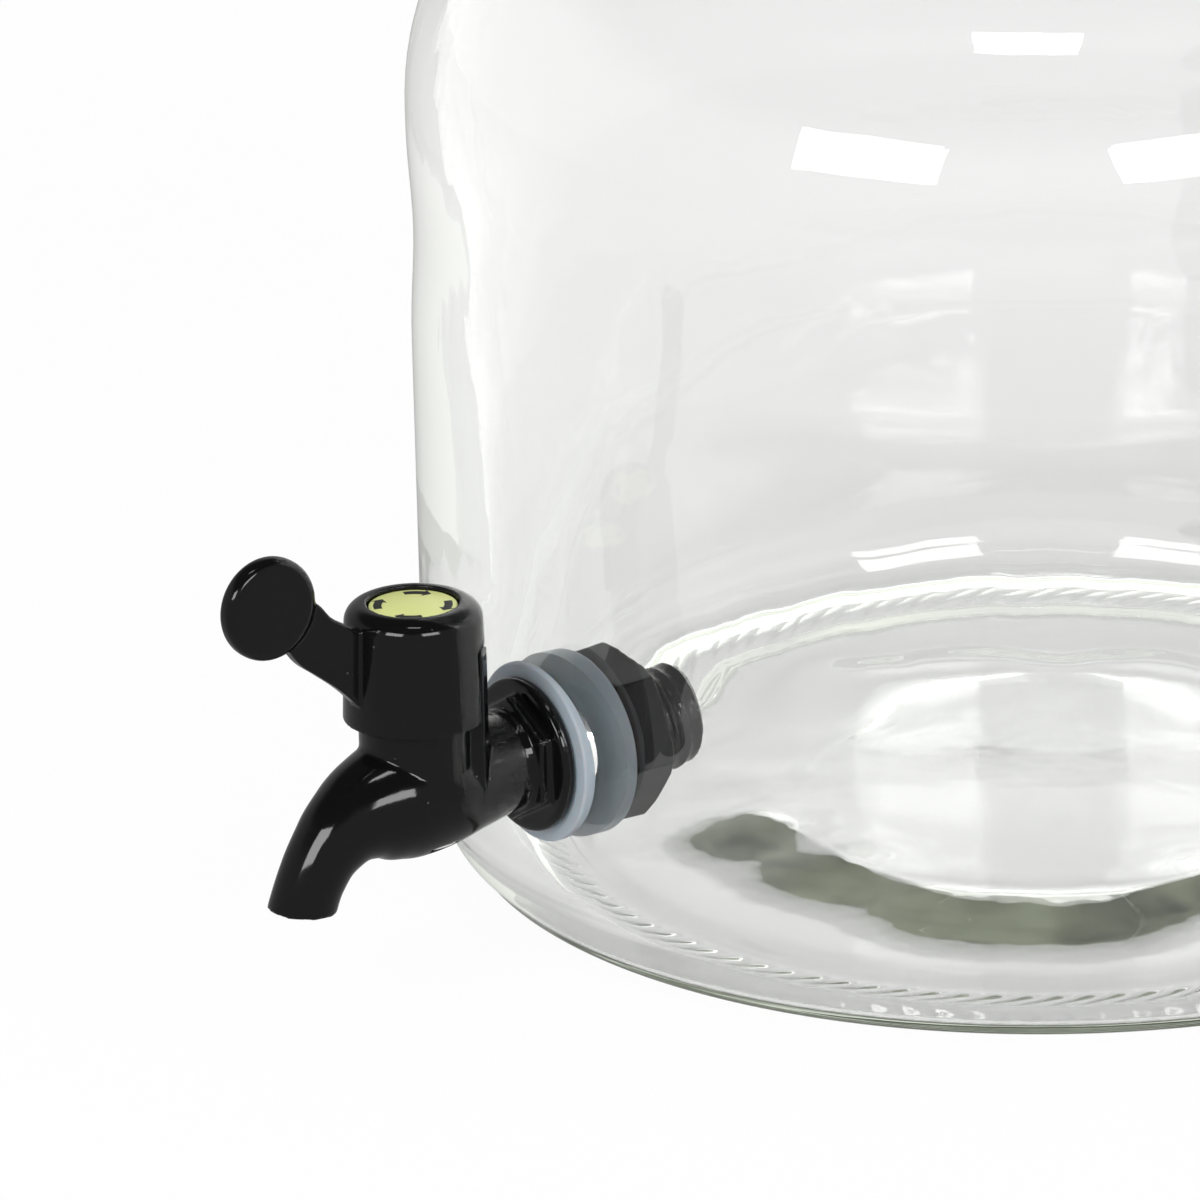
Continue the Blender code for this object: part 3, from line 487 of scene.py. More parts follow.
def rib_pattern(tree, given, radius, x, y, sharpness):
    """The ribs' ridges, from 0 to 1, and how strong a rib is there, from its length and side."""
    off = math_node(tree, "SUBTRACT", radius, given["Rib Radius"])
    slant = math_node(tree, "MULTIPLY", off, given["Slant"])
    angle = math_node(tree, "ADD", math_node(tree, "ARCTAN2", y, x), slant)
    wave = math_node(tree, "COSINE", math_node(tree, "MULTIPLY", angle, given["Count"]))
    ridge = math_node(tree, "POWER", math_node(tree, "MULTIPLY_ADD", wave, 0.5, 0.5), sharpness)
    reach = math_node(tree, "DIVIDE", off, given["Rib Length"])
    square = math_node(tree, "MULTIPLY", reach, reach)
    fade = math_node(tree, "EXPONENT", math_node(tree, "MULTIPLY", square, -1.0))
    side = math_node(tree, "COSINE", math_node(tree, "SUBTRACT", angle, given["Crisp Side"]))
    near = math_node(tree, "MULTIPLY_ADD", side, 0.5, 0.5)
    flat = math_node(tree, "SUBTRACT", 1.0, given["Flat Share"])
    crisp = math_node(tree, "MULTIPLY_ADD", near, flat, given["Flat Share"])
    return ridge, math_node(tree, "MULTIPLY", fade, crisp)


print("ribs", RIB_PATTERN["Count"], "round a ring of radius", RIB_PATTERN["Rib Radius"])

# %% [markdown]
# ## Glass
# The glass is clear, with a green that shows only where light runs a long way through it.
# Absorption in the volume gives that by itself, where a green base colour would tint thin and
# thick glass alike. First comes a group that tells the zones of the jar apart: the ribs' tips,
# which get painted shade, and the wall as against the thick floor. The wall's share is smaller
# low down in the heel, and nothing round the tap.

# %% Zones of the glass
WALL_INSIDE_RADIUS = 78 * MM
HEEL_TOP = 40 * MM
HEEL_SHARE = 0.26
TAP_SHADE_RADIUS = 18 * MM
# How sharp and how low on the foot the painted shade on the ribs' tips is
RIB_SHADE_SHARPNESS = 4.0
RIB_SHADE_HEIGHT = 1.2 * MM


def wall_zone(tree, radius, x, y, z):
    above_heel = math_node(tree, "GREATER_THAN", z, HEEL_TOP)
    share = math_node(tree, "MULTIPLY_ADD", above_heel, 1.0 - HEEL_SHARE, HEEL_SHARE)
    in_wall = math_node(tree, "GREATER_THAN", radius, WALL_INSIDE_RADIUS)
    from_tap = length(tree, x, math_node(tree, "SUBTRACT", z, TAP_HEIGHT))
    clear_of_tap = math_node(tree, "GREATER_THAN", from_tap, TAP_SHADE_RADIUS)
    behind = math_node(tree, "GREATER_THAN", y, 0.0)
    off_tap = math_node(tree, "MAXIMUM", clear_of_tap, behind)
    return math_node(tree, "MULTIPLY", math_node(tree, "MULTIPLY", in_wall, share), off_tap)


def glass_zones_group():
    tree = bpy.data.node_groups.new("glass_zones", "ShaderNodeTree")
    tree.interface.new_socket("Place", in_out="INPUT", socket_type="NodeSocketVector")
    for label in RIB_PATTERN:
        tree.interface.new_socket(label, in_out="INPUT", socket_type="NodeSocketFloat")
    for label in ("Rib Tips", "In Wall"):
        tree.interface.new_socket(label, in_out="OUTPUT", socket_type="NodeSocketFloat")
    given = tree.nodes.new("NodeGroupInput").outputs
    radius, x, y, z = around_jar(tree, given["Place"])
    ridge, strength = rib_pattern(tree, given, radius, x, y, RIB_SHADE_SHARPNESS)
    # Painted shade: the ribs' tips, low on the foot, are marked to be darkened
    low = math_node(tree, "LESS_THAN", z, RIB_SHADE_HEIGHT)
    rib_shade = math_node(tree, "MULTIPLY", math_node(tree, "MULTIPLY", ridge, strength), low)
    add_node(tree, "NodeGroupOutput", Rib_Tips=rib_shade, In_Wall=wall_zone(tree, radius, x, y, z))
    return tree


glass_zones = glass_zones_group()
print("group", glass_zones.name, "with", len(glass_zones.nodes), "nodes")

# %% [markdown]
# Light that bounces many times inside thick glass comes out pale in the real jar. A renderer
# stops following such a ray after a few bounces, and what it drops turns black. So the glass
# gives off a little light of its own, but only to rays that are already deep in it: neutral in
# the wall, and olive in the floor, with dark patches as in the photograph. Rays that came off a
# matt surface don't get it, because it would light the floor under the jar.

# %% Deep light
DEEP_START = 3.5
MATT_LIMIT = 0.5
DEEP_LIGHT_IN_WALL = (0.37, 0.37, 0.365)
DEEP_LIGHT_IN_FLOOR = (0.045, 0.050, 0.034)
DARK_PATCH_IN_FLOOR = (0.001, 0.002, 0.000)
PATCH_SCALE = 55.0
PATCH_DETAIL = 2.5
PATCH_START = 0.44
PATCH_FULL = 0.57


def deep_light(tree, shader, place, in_wall):
    patches = add_node(
        tree, "ShaderNodeTexNoise", Vector=place, Scale=PATCH_SCALE, Detail=PATCH_DETAIL,
    )
    edge = add_node(
        tree, "ShaderNodeMapRange", Value=patches.outputs["Fac"], From_Min=PATCH_START,
        From_Max=PATCH_FULL,
    )
    in_floor = colour_mix(tree, edge.outputs["Result"], DARK_PATCH_IN_FLOOR, DEEP_LIGHT_IN_FLOOR)
    colour = colour_mix(tree, in_wall, in_floor, DEEP_LIGHT_IN_WALL)
    path = tree.nodes.new("ShaderNodeLightPath")
    deep = math_node(tree, "GREATER_THAN", path.outputs["Ray Depth"], DEEP_START)
    direct = math_node(tree, "LESS_THAN", path.outputs["Diffuse Depth"], MATT_LIMIT)
    set_input(tree, shader.inputs["Emission Color"], colour)
    set_input(tree, shader.inputs["Emission Strength"], math_node(tree, "MULTIPLY", deep, direct))


print("deep light starts at bounce", math.ceil(DEEP_START))

# %% [markdown]
# Pressed glass is never quite even. A slow noise, drawn out upwards, bends its surface a little,
# which is what makes the reflections in it wander. The ribs' tips are darkened in the base
# colour as painted shade, in place of the dark that the ribs bend into view.

# %% Glass material
GLASS_IOR = 1.5
GLASS_ABSORPTION = (0.50, 0.62, 0.40)
GLASS_DENSITY = 3.0
CLEAR = (1.0, 1.0, 1.0)
# Painted shade for the ribs' tips, set in the glass's base colour
RIB_PAINTED_SHADE_COLOUR = (0.03, 0.035, 0.03)
WAVE_HEIGHT = 0.22 * MM
WAVE_SCALE = 40.0
WAVE_DETAIL = 2.6
WAVE_STRETCH = (1.0, 1.0, 0.35)


def glass_waves(tree, place):
    stretched = add_node(tree, "ShaderNodeMapping", Vector=place, Scale=WAVE_STRETCH)
    waves = add_node(
        tree, "ShaderNodeTexNoise", Vector=stretched.outputs["Vector"], Scale=WAVE_SCALE,
        Detail=WAVE_DETAIL,
    )
    relief = add_node(
        tree, "ShaderNodeBump", Strength=1.0, Distance=WAVE_HEIGHT, Height=waves.outputs["Fac"],
    )
    return relief.outputs["Normal"]


def make_glass():
    material, shader = new_material("glass", CLEAR, 0.0, IOR=GLASS_IOR, Transmission_Weight=1.0)
    tree = material.node_tree
    place = tree.nodes.new("ShaderNodeTexCoord").outputs["Object"]
    zones = tree.nodes.new("ShaderNodeGroup")
    zones.node_tree = glass_zones
    set_input(tree, zones.inputs["Place"], place)
    for label, value in RIB_PATTERN.items():
        zones.inputs[label].default_value = value
    # Painted shade: the ribs' tips are darkened in the base colour
    rib_shade = colour_mix(tree, zones.outputs["Rib Tips"], CLEAR, RIB_PAINTED_SHADE_COLOUR)
    set_input(tree, shader.inputs["Base Color"], rib_shade)
    set_input(tree, shader.inputs["Normal"], glass_waves(tree, place))
    deep_light(tree, shader, place, zones.outputs["In Wall"])
    tint = add_node(
        tree, "ShaderNodeVolumeAbsorption", Color=(*GLASS_ABSORPTION, 1.0), Density=GLASS_DENSITY,
    )
    set_input(tree, tree.nodes["Material Output"].inputs["Volume"], tint.outputs["Volume"])
    return material


glass = make_glass()
print("glass with", len(glass.node_tree.nodes), "nodes")

# %% [markdown]
# ## Lines
# Most of the pieces are turned shapes: a line of (radius, height) points, turned about an axis.
# The first helper draws round corners. The second softens a whole line, because pressed glass
# has no sharp corner anywhere. That needs many points, so the third leaves out those where the
# line hardly bends.

# %% Line helpers


def arc(centre, radius, start_deg, end_deg, steps):
    points = []
    for i in range(steps + 1):
        angle = math.radians(start_deg + (end_deg - start_deg) * i / steps)
        points.append((centre[0] + radius * math.cos(angle), centre[1] + radius * math.sin(angle)))
    return points


def resampled(points, spacing):
    """The same line with its points evenly spaced."""
    line = np.array(points)
    steps = np.hypot(*np.diff(line, axis=0).T)
    along = np.concatenate([[0.0], np.cumsum(steps)])
    count = max(int(along[-1] / spacing), 2)
    at = np.linspace(0.0, along[-1], count + 1)
    return np.column_stack([np.interp(at, along, line[:, i]) for i in (0, 1)])


def softened(points, spacing, spread):
    """The line with its corners rounded over about the spread, its ends kept on the axis."""
    line = resampled(points, spacing)
    reach = int(3 * spread / spacing)
    start = 2 * line[0] - line[reach:0:-1]
    end = 2 * line[-1] - line[-2:-reach - 2:-1]
    padded = np.vstack([start, line, end])
    weights = np.exp(-0.5 * (np.arange(-reach, reach + 1) * spacing / spread) ** 2)
    weights /= weights.sum()
    smooth = np.column_stack([np.convolve(padded[:, i], weights, "valid") for i in (0, 1)])
    smooth[:, 0] = np.maximum(smooth[:, 0], 0.0)
    smooth[[0, -1], 0] = 0.0
    return smooth


def thinned(line, bend_deg, longest):
    """Leaves out the points of a line where it hardly bends."""
    kept = [0]
    turned_so_far = 0.0
    for i in range(1, len(line) - 1):
        before = line[i] - line[i - 1]
        after = line[i + 1] - line[i]
        cross = before[0] * after[1] - before[1] * after[0]
        turned_so_far += abs(math.degrees(math.atan2(cross, before @ after)))
        if turned_so_far > bend_deg or np.hypot(*(line[i] - line[kept[-1]])) > longest:
            kept.append(i)
            turned_so_far = 0.0
    return line[kept + [len(line) - 1]]


print("a quarter turn in 8 steps has", len(arc((0, 0), 1, 0, 90, 8)), "points")

# %% [markdown]
# ## Turned solids
# Blender's Screw modifier could turn a line too. Here the rings are made one by one instead, for
# two reasons: a ring may be finer than its neighbour, which the ribs need, and a ring may be
# lifted unevenly, which the jar's floor needs. A ring on the axis becomes one point, a pole.

# %% Turned solids
ON_AXIS = 1e-7


def new_piece(name, mesh):
    piece = bpy.data.objects.new(name, mesh)
    bpy.context.scene.collection.objects.link(piece)
    return piece


def piece_from(name, verts, faces, place):
    """A piece at the origin whose place is in its mesh, with its faces turned outwards."""
    mesh = bpy.data.meshes.new(name)
    mesh.from_pydata([place @ Vector(vert) for vert in verts], [], faces)
    bm = bmesh.new()
    bm.from_mesh(mesh)
    bmesh.ops.recalc_face_normals(bm, faces=bm.faces)
    bm.to_mesh(mesh)
    bm.free()
    mesh.shade_smooth()
    return new_piece(name, mesh)


def faces_between(upper, lower):
    """Faces between two rings. Either may be a pole, or a whole number of times finer."""
    count = min(len(upper), len(lower))
    if count == 1:
        count = max(len(upper), len(lower))
        if len(upper) == 1:
            return [(upper[0], lower[i], lower[(i + 1) % count]) for i in range(count)]
        return [(upper[i], lower[0], upper[(i + 1) % count]) for i in range(count)]
    fine_up = len(upper) // count
    fine_low = len(lower) // count
    faces = []
    for i in range(count):
        below = [lower[(i * fine_low + k) % len(lower)] for k in range(fine_low + 1)]
        above = [upper[(i * fine_up + k) % len(upper)] for k in range(fine_up, 0, -1)]
        faces.append((upper[i * fine_up], *below, *above))
    return faces


def turned_rings(name, rings, place, lift=None):
    """Turns (radius, height, steps) rings. A line that starts off the axis closes on itself."""
    verts = []
    numbers = []
    for index, (radius, height, steps) in enumerate(rings):
        steps = 1 if radius < ON_AXIS else steps
        numbers.append(range(len(verts), len(verts) + steps))
        for i in range(steps):
            angle = 2 * math.pi * i / steps
            up = lift(index, radius, angle) if lift and steps > 1 else 0.0
            verts.append((radius * math.cos(angle), radius * math.sin(angle), height + up))
    pairs = list(zip(numbers, numbers[1:]))
    if len(numbers[0]) > 1:
        pairs.append((numbers[-1], numbers[0]))
    faces = [face for upper, lower in pairs for face in faces_between(upper, lower)]
    return piece_from(name, verts, faces, place)


def turned(name, line, steps, place):
    return turned_rings(name, [(radius, height, steps) for radius, height in line], place)


print("turned solids join at poles nearer the axis than", ON_AXIS)

# %% [markdown]
# ## Straight and bent solids
# Bores, hexagons and cutters are prisms and boxes. The spout is a tube that bends and tapers. A
# curve with a bevel does that well: it takes a place and a radius at each knot and runs
# smoothly through them. The result is made a mesh and its ends are joined, so that it is closed.

# %% Straight and bent solids
WELD = 0.01 * MM


def prism(name, radius, bottom, top, sides, place, turn_deg=0.0):
    bm = bmesh.new()
    centre = Matrix.Translation((0.0, 0.0, (bottom + top) / 2))
    centre = place @ centre @ Matrix.Rotation(math.radians(turn_deg), 4, "Z")
    bmesh.ops.create_cone(
        bm, cap_ends=True, segments=sides, radius1=radius, radius2=radius,
        depth=top - bottom, matrix=centre,
    )
    mesh = bpy.data.meshes.new(name)
    bm.to_mesh(mesh)
    bm.free()
    return new_piece(name, mesh)


def block(name, low, high, place):
    """A box between two corners of a place."""
    low = Vector(low)
    high = Vector(high)
    shape = Matrix.Translation((low + high) / 2) @ Matrix.Diagonal((*(high - low), 1.0))
    bm = bmesh.new()
    bmesh.ops.create_cube(bm, size=1.0, matrix=place @ shape)
    mesh = bpy.data.meshes.new(name)
    bm.to_mesh(mesh)
    bm.free()
    return new_piece(name, mesh)


def from_curve(name, curve, place):
    """Makes a curve a closed mesh, puts it in its place and turns its faces outwards."""
    drawn = new_piece(name, curve)
    bpy.context.view_layer.update()
    graph = bpy.context.evaluated_depsgraph_get()
    mesh = bpy.data.meshes.new_from_object(drawn.evaluated_get(graph))
    bpy.data.objects.remove(drawn)
    bm = bmesh.new()
    bm.from_mesh(mesh)
    bmesh.ops.remove_doubles(bm, verts=bm.verts, dist=WELD)
    bmesh.ops.recalc_face_normals(bm, faces=bm.faces)
    bm.transform(place)
    bm.to_mesh(mesh)
    bm.free()
    return new_piece(name, mesh)


def tube(name, points, sides, steps, place):
    """A round tube through (place, radius) points on a smooth curve, closed at both ends."""
    curve = bpy.data.curves.new(name, "CURVE")
    curve.dimensions = "3D"
    curve.use_fill_caps = True
    curve.bevel_depth = MM
    curve.bevel_resolution = sides // 4 - 1
    curve.resolution_u = steps
    spline = curve.splines.new("BEZIER")
    spline.bezier_points.add(len(points) - 1)
    spline.radius_interpolation = "CARDINAL"
    for knot, (centre, radius) in zip(spline.bezier_points, points):
        knot.co = centre
        knot.radius = radius / MM
        knot.handle_left_type = "AUTO"
        knot.handle_right_type = "AUTO"
    return from_curve(name, curve, place)


print("doubles nearer than", WELD, "are joined")

# %% [markdown]
# ## Joining, rounding and finishing
# Boolean modifiers join the forms of a moulding and cut its bores, as a designer would. They
# leave sharp edges, so a voxel skin over the whole is then smoothed a little: that rounds every
# edge and inner corner at once, as a mould does. The last helper gives a piece its finish, hangs
# it on the body that carries it and hides the CAD nodes that it stands for.

# %% Joining and finishing


def with_modifiers(piece):
    """Turns a piece's modifiers into its mesh."""
    bpy.context.view_layer.update()
    shaped = piece.evaluated_get(bpy.context.evaluated_depsgraph_get())
    mesh = bpy.data.meshes.new_from_object(shaped)
    piece.modifiers.clear()
    piece.data = mesh
    return piece


def combine(piece, others, operation):
    for other in others:
        modifier = piece.modifiers.new(other.name, "BOOLEAN")
        modifier.operation = operation
        modifier.solver = "EXACT"
        modifier.object = other
    with_modifiers(piece)
    for other in others:
        bpy.data.objects.remove(other)
    return piece


def moulded(piece, voxel, rounds):
    """Rounds every edge and inner corner a little, as a moulding has them."""
    skin = piece.modifiers.new("Skin", "REMESH")
    skin.mode = "VOXEL"
    skin.voxel_size = voxel
    soften = piece.modifiers.new("Soften", "SMOOTH")
    soften.factor = 0.5
    soften.iterations = rounds
    with_modifiers(piece)
    piece.data.shade_smooth()
    return piece


def finished(piece, material, body, nodes=(), sharp_deg=None):
    piece.data.materials.clear()
    piece.data.materials.append(material)
    if sharp_deg is not None:
        piece.data.shade_smooth()
        piece.data.set_sharp_from_angle(angle=math.radians(sharp_deg))
    if nodes:
        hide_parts(*nodes)
    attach(piece, body)
    print(piece.name, len(piece.data.polygons), "faces")
    return piece


SHARP_DEG = 40
print("edges over", SHARP_DEG, "degrees stay sharp on turned pieces")

# %% [markdown]
# ## Jar
# The real jar is blown or pressed in one piece. A thickness modifier on the outer shape would
# give it an even wall, but the photograph shows that it isn't even: thick at the bottom, thinner
# above the tap, with a low dome in the floor. So one closed line draws the inside and the
# outside. First its inside, from the middle of the floor up to the shoulder.

# %% Jar's inside
WALL = 5.0 * MM
LOWER_WALL = 9.2 * MM
LOWER_WALL_TOP = 54 * MM
WALL_TAPER_END = 124 * MM
HEEL_HEIGHT = 24.5 * MM
HEEL_INSIDE_INSET = 8.0 * MM
HEEL_STEPS = 16
FLOOR_HEIGHT = 3.4 * MM
FLOOR_DOME = 4.6 * MM
FLOOR_POINTS = 40
DOME_OUTER_RADIUS = 68 * MM
DOME_INNER_RADIUS = 38 * MM
LOWER_INNER_RADIUS = JAR_RADIUS - LOWER_WALL


def inside_radius(height):
    """The inner wall without its waist: narrow at the tap, and wider up to the shoulder."""
    share = (height - LOWER_WALL_TOP) / (WALL_TAPER_END - LOWER_WALL_TOP)
    return LOWER_INNER_RADIUS + (LOWER_WALL - WALL) * min(max(share, 0.0), 1.0)


def floor_height(radius):
    """The floor's upper face: low along the wall, and higher over the dome."""
    share = (DOME_OUTER_RADIUS - radius) / (DOME_OUTER_RADIUS - DOME_INNER_RADIUS)
    share = min(max(share, 0.0), 1.0)
    return FLOOR_HEIGHT + FLOOR_DOME * share ** 2 * (3 - 2 * share)


def heel_curve(edge_radius, inset, low):
    """A quarter ellipse that runs down from the wall and in to the foot."""
    points = []
    for i in range(HEEL_STEPS + 1):
        angle = math.radians(90 * i / HEEL_STEPS)
        height = HEEL_HEIGHT - (HEEL_HEIGHT - low) * math.sin(angle)
        points.append((edge_radius + inset * math.cos(angle), height))
    return points


def floor_and_heel_line():
    across = np.linspace(0.0, DOME_OUTER_RADIUS, FLOOR_POINTS)
    floor = [(radius, floor_height(radius)) for radius in across]
    edge = LOWER_INNER_RADIUS - HEEL_INSIDE_INSET
    heel = heel_curve(edge, HEEL_INSIDE_INSET, FLOOR_HEIGHT)[::-1]
    return floor + heel + [(LOWER_INNER_RADIUS, LOWER_WALL_TOP)]


print("floor", floor_height(0.0), "thick in the middle and", FLOOR_HEIGHT, "at its edge")

# %% [markdown]
# ### Wall, shoulder and rim
# The wall has a slight waist. The shoulder is a round that turns back into the neck through a
# small fillet, and the rim is a bead. Both faces of the wall share the centres of these rounds,
# so the wall keeps its thickness all the way round them.

# %% Jar's wall and rim
WAIST_DIP = 0.8 * MM
WAIST_HEIGHT = 106 * MM
WAIST_SPREAD = 18 * MM
WAIST_STEPS = 12
SHOULDER_START = 127 * MM
SHOULDER_RADIUS = 48 * MM
SHOULDER_STEPS = 24
NECK_RADIUS = 58 * MM
NECK_FILLET = 8 * MM
FILLET_STEPS = 8
RIM_HEIGHT = 200 * MM
RIM_BEAD = 4.5 * MM
MOUTH_RADIUS = NECK_RADIUS - WALL
BEAD_CENTRE_RADIUS = MOUTH_RADIUS + RIM_BEAD

across = NECK_RADIUS + NECK_FILLET - (JAR_RADIUS - SHOULDER_RADIUS)
up = math.sqrt((SHOULDER_RADIUS + NECK_FILLET) ** 2 - across ** 2)
MEET_DEG = math.degrees(math.atan2(up, across))
SHOULDER_CENTRE = (JAR_RADIUS - SHOULDER_RADIUS, SHOULDER_START)
FILLET_CENTRE = (NECK_RADIUS + NECK_FILLET, SHOULDER_START + up)


def waist(base_radius_at):
    """The wall from the shoulder down to below the slight waist."""
    top = min(WAIST_HEIGHT + WAIST_SPREAD, SHOULDER_START)
    bottom = WAIST_HEIGHT - WAIST_SPREAD
    points = []
    for i in range(WAIST_STEPS + 1):
        height = top + (bottom - top) * i / WAIST_STEPS
        away = min(abs(height - WAIST_HEIGHT) / WAIST_SPREAD, 1.0)
        dip = WAIST_DIP * (1 + math.cos(math.pi * away)) / 2
        points.append((base_radius_at(height) - dip, height))
    return points


def inner_line():
    """From the middle of the floor up the inside to the neck."""
    line = floor_and_heel_line() + waist(inside_radius)[::-1]
    line += arc(SHOULDER_CENTRE, SHOULDER_RADIUS - WALL, 0, MEET_DEG, SHOULDER_STEPS)
    line += arc(FILLET_CENTRE, NECK_FILLET + WALL, 180 + MEET_DEG, 180, FILLET_STEPS)[1:]
    return line


def rim_and_wall_line():
    """From the mouth over the bead and down the outside to the waist."""
    bead_end = math.degrees(math.acos((NECK_RADIUS - BEAD_CENTRE_RADIUS) / RIM_BEAD))
    bead_centre = (BEAD_CENTRE_RADIUS, RIM_HEIGHT - RIM_BEAD)
    line = arc(bead_centre, RIM_BEAD, 180, -bead_end, SHOULDER_STEPS)
    line += arc(FILLET_CENTRE, NECK_FILLET, 180, 180 + MEET_DEG, FILLET_STEPS)
    line += arc(SHOULDER_CENTRE, SHOULDER_RADIUS, MEET_DEG, 0, SHOULDER_STEPS)[1:]
    return line + waist(lambda height: JAR_RADIUS)


print("shoulder meets the neck's fillet at", round(MEET_DEG, 1), "degrees")

# %% [markdown]
# ### Foot and punt
# The jar stands on a flat ring. Inside it the base is hollowed a little, and in the middle is a
# shallow punt with a small step round it, which catches the light as a fine line.

# %% Jar's foot
HEEL_INSET = 5.8 * MM
FOOT_CORNER = 3.0 * MM
FOOT_WIDTH = 15.0 * MM
FOOT_RECESS = 0.8 * MM
FOOT_RECESS_RUN = 3.0 * MM
PUNT_RADIUS = 42 * MM
PUNT_STEP = 0.25 * MM
PUNT_STEP_RUN = 1.0 * MM
PUNT_RISE = 1.2 * MM
PUNT_POINTS = 12


def foot_line():
    """From the outer heel across the foot to the middle of the punt."""
    foot_radius = JAR_RADIUS - HEEL_INSET
    line = heel_curve(foot_radius, HEEL_INSET, FOOT_CORNER)
    corner = (foot_radius - FOOT_CORNER, FOOT_CORNER)
    line += arc(corner, FOOT_CORNER, 0, -90, FILLET_STEPS)[1:]
    foot_inner = foot_radius - FOOT_CORNER - FOOT_WIDTH
    line += [(foot_inner, 0.0), (foot_inner - FOOT_RECESS_RUN, FOOT_RECESS)]
    punt_edge = PUNT_RADIUS - PUNT_STEP_RUN
    line += [(PUNT_RADIUS, FOOT_RECESS), (punt_edge, FOOT_RECESS + PUNT_STEP)]
    for i in range(1, PUNT_POINTS + 1):
        share = i / PUNT_POINTS
        rise = PUNT_STEP + (PUNT_RISE - PUNT_STEP) * math.sin(share * math.pi / 2)
        line.append((punt_edge * (1 - share), FOOT_RECESS + rise))
    return line


print("jar's line has", len(inner_line() + rim_and_wall_line() + foot_line()), "points")

# %% [markdown]
# ### Jar's mesh
# The line is softened and turned. Where the ribs will be, the foot gets even rings that are five
# times finer round the jar, so that the ribs have points to move. The dome's edge wanders in and
# out round the floor. It is what bends the dark patches of the base into their ragged outline.

# %% Jar's mesh
JAR_STEPS = 216
BAND_FINENESS = 5
BAND_OUTER = 91.0 * MM
BAND_INNER = 80.0 * MM
BAND_RINGS = 20
LINE_SPACING = 0.3 * MM
LINE_SPREAD = 0.9 * MM
LINE_BEND_DEG = 2.9
LONGEST_STEP = 3.2 * MM
FLAT = 0.01 * MM
FLOOR_MARGIN = 8 * MM
# How far the dome's edge wanders, how many times round the floor, and where that starts
DOME_WOBBLES = ((2.4 * MM, 3, 0.6), (2.0 * MM, 5, 2.1), (1.0 * MM, 12, 4.0))


def jar_rings():
    """The softened line as rings, with fine, even ones across the ribs' band."""
    line = softened(inner_line() + rim_and_wall_line() + foot_line(), LINE_SPACING, LINE_SPREAD)
    on_foot = line[:, 1] < FLAT
    on_foot &= (line[:, 0] > BAND_INNER) & (line[:, 0] < BAND_OUTER)
    first, last = np.flatnonzero(on_foot)[[0, -1]]
    rings = []
    for part in (line[:first], line[last + 1:]):
        part = thinned(part, LINE_BEND_DEG, LONGEST_STEP)
        rings.append([(radius, height, JAR_STEPS) for radius, height in part])
    across = np.linspace(BAND_OUTER, BAND_INNER, BAND_RINGS)
    band = [(radius, 0.0, JAR_STEPS * BAND_FINENESS) for radius in across]
    return rings[0] + band + rings[1]


def make_jar():
    rings = jar_rings()
    on_wall = [radius >= DOME_OUTER_RADIUS + FLOOR_MARGIN for radius, height, steps in rings]
    floor_rings = on_wall.index(True)

    def dome_lift(index, radius, angle):
        if index >= floor_rings:
            return 0.0
        wobble = sum(size * math.sin(waves * angle + start) for size, waves, start in DOME_WOBBLES)
        return floor_height(radius + wobble) - floor_height(radius)

    return turned_rings("jar_glass", rings, UPRIGHT_AT_JAR, dome_lift)


jar = make_jar()
print("jar faces", len(jar.data.polygons))

# %% [markdown]
# ### Ribs in the glass
# The ribs repeat 108 times round the foot, which is work for Geometry Nodes. Copies of one rib
# would have to be joined to the glass. The tree moves the points of the band up between the ribs
# instead, so the glass stays one closed skin. Its inputs are the sizes of the rib pattern.

# %% Ribs in the glass
RIB_DEPTH_IN_GLASS = 0.6 * MM
RIDGE_SHARPNESS = 3.0
FOOT_LEVEL = 0.02 * MM


def rib_tree():
    tree = bpy.data.node_groups.new("glass_ribs", "GeometryNodeTree")
    tree.interface.new_socket("Geometry", in_out="INPUT", socket_type="NodeSocketGeometry")
    for label in ("Depth", *RIB_PATTERN):
        tree.interface.new_socket(label, in_out="INPUT", socket_type="NodeSocketFloat")
    tree.interface.new_socket("Material", in_out="INPUT", socket_type="NodeSocketMaterial")
    tree.interface.new_socket("Geometry", in_out="OUTPUT", socket_type="NodeSocketGeometry")
    given = tree.nodes.new("NodeGroupInput").outputs
    place = tree.nodes.new("GeometryNodeInputPosition").outputs[0]
    radius, x, y, z = around_jar(tree, place)
    ridge, strength = rib_pattern(tree, given, radius, x, y, RIDGE_SHARPNESS)
    valley = math_node(tree, "SUBTRACT", 1.0, ridge)
    depth = math_node(tree, "MULTIPLY", strength, given["Depth"])
    rise = math_node(tree, "MULTIPLY", valley, depth)
    on_foot = math_node(tree, "LESS_THAN", z, FOOT_LEVEL)
    up = add_node(tree, "ShaderNodeCombineXYZ", Z=math_node(tree, "MULTIPLY", rise, on_foot))
    move = add_node(
        tree, "GeometryNodeSetPosition", Geometry=given["Geometry"], Offset=up.outputs[0],
    )
    real = add_node(tree, "GeometryNodeRealizeInstances", Geometry=move.outputs[0])
    finish = add_node(
        tree, "GeometryNodeSetMaterial", Geometry=real.outputs[0], Material=given["Material"],
    )
    add_node(tree, "NodeGroupOutput", Geometry=finish.outputs[0])
    return tree


def run_nodes(piece, tree, values):
    """Runs a node group on a piece, with each input set by its identifier, and keeps the mesh."""
    modifier = piece.modifiers.new(tree.name, "NODES")
    modifier.node_group = tree
    for item in tree.interface.items_tree:
        if item.in_out == "INPUT" and item.name in values:
            modifier[item.identifier] = values[item.name]
    return with_modifiers(piece)


run_nodes(jar, rib_tree(), {**RIB_PATTERN, "Depth": RIB_DEPTH_IN_GLASS, "Material": glass})
print("ribs in the glass, up to", RIB_DEPTH_IN_GLASS, "deep")

# %% [markdown]
# ### Hole for the tap
# On the real jar the hole is drilled after the glass has cooled, so its edge is sharp. It is cut
# the same way here, with a round cutter that runs right through the wall.

# %% Hole for the tap
HOLE_RADIUS = 8.8 * MM
BORE_SIDES = 96
CUT_INSIDE = 12 * MM
CUT_OUTSIDE = 5 * MM

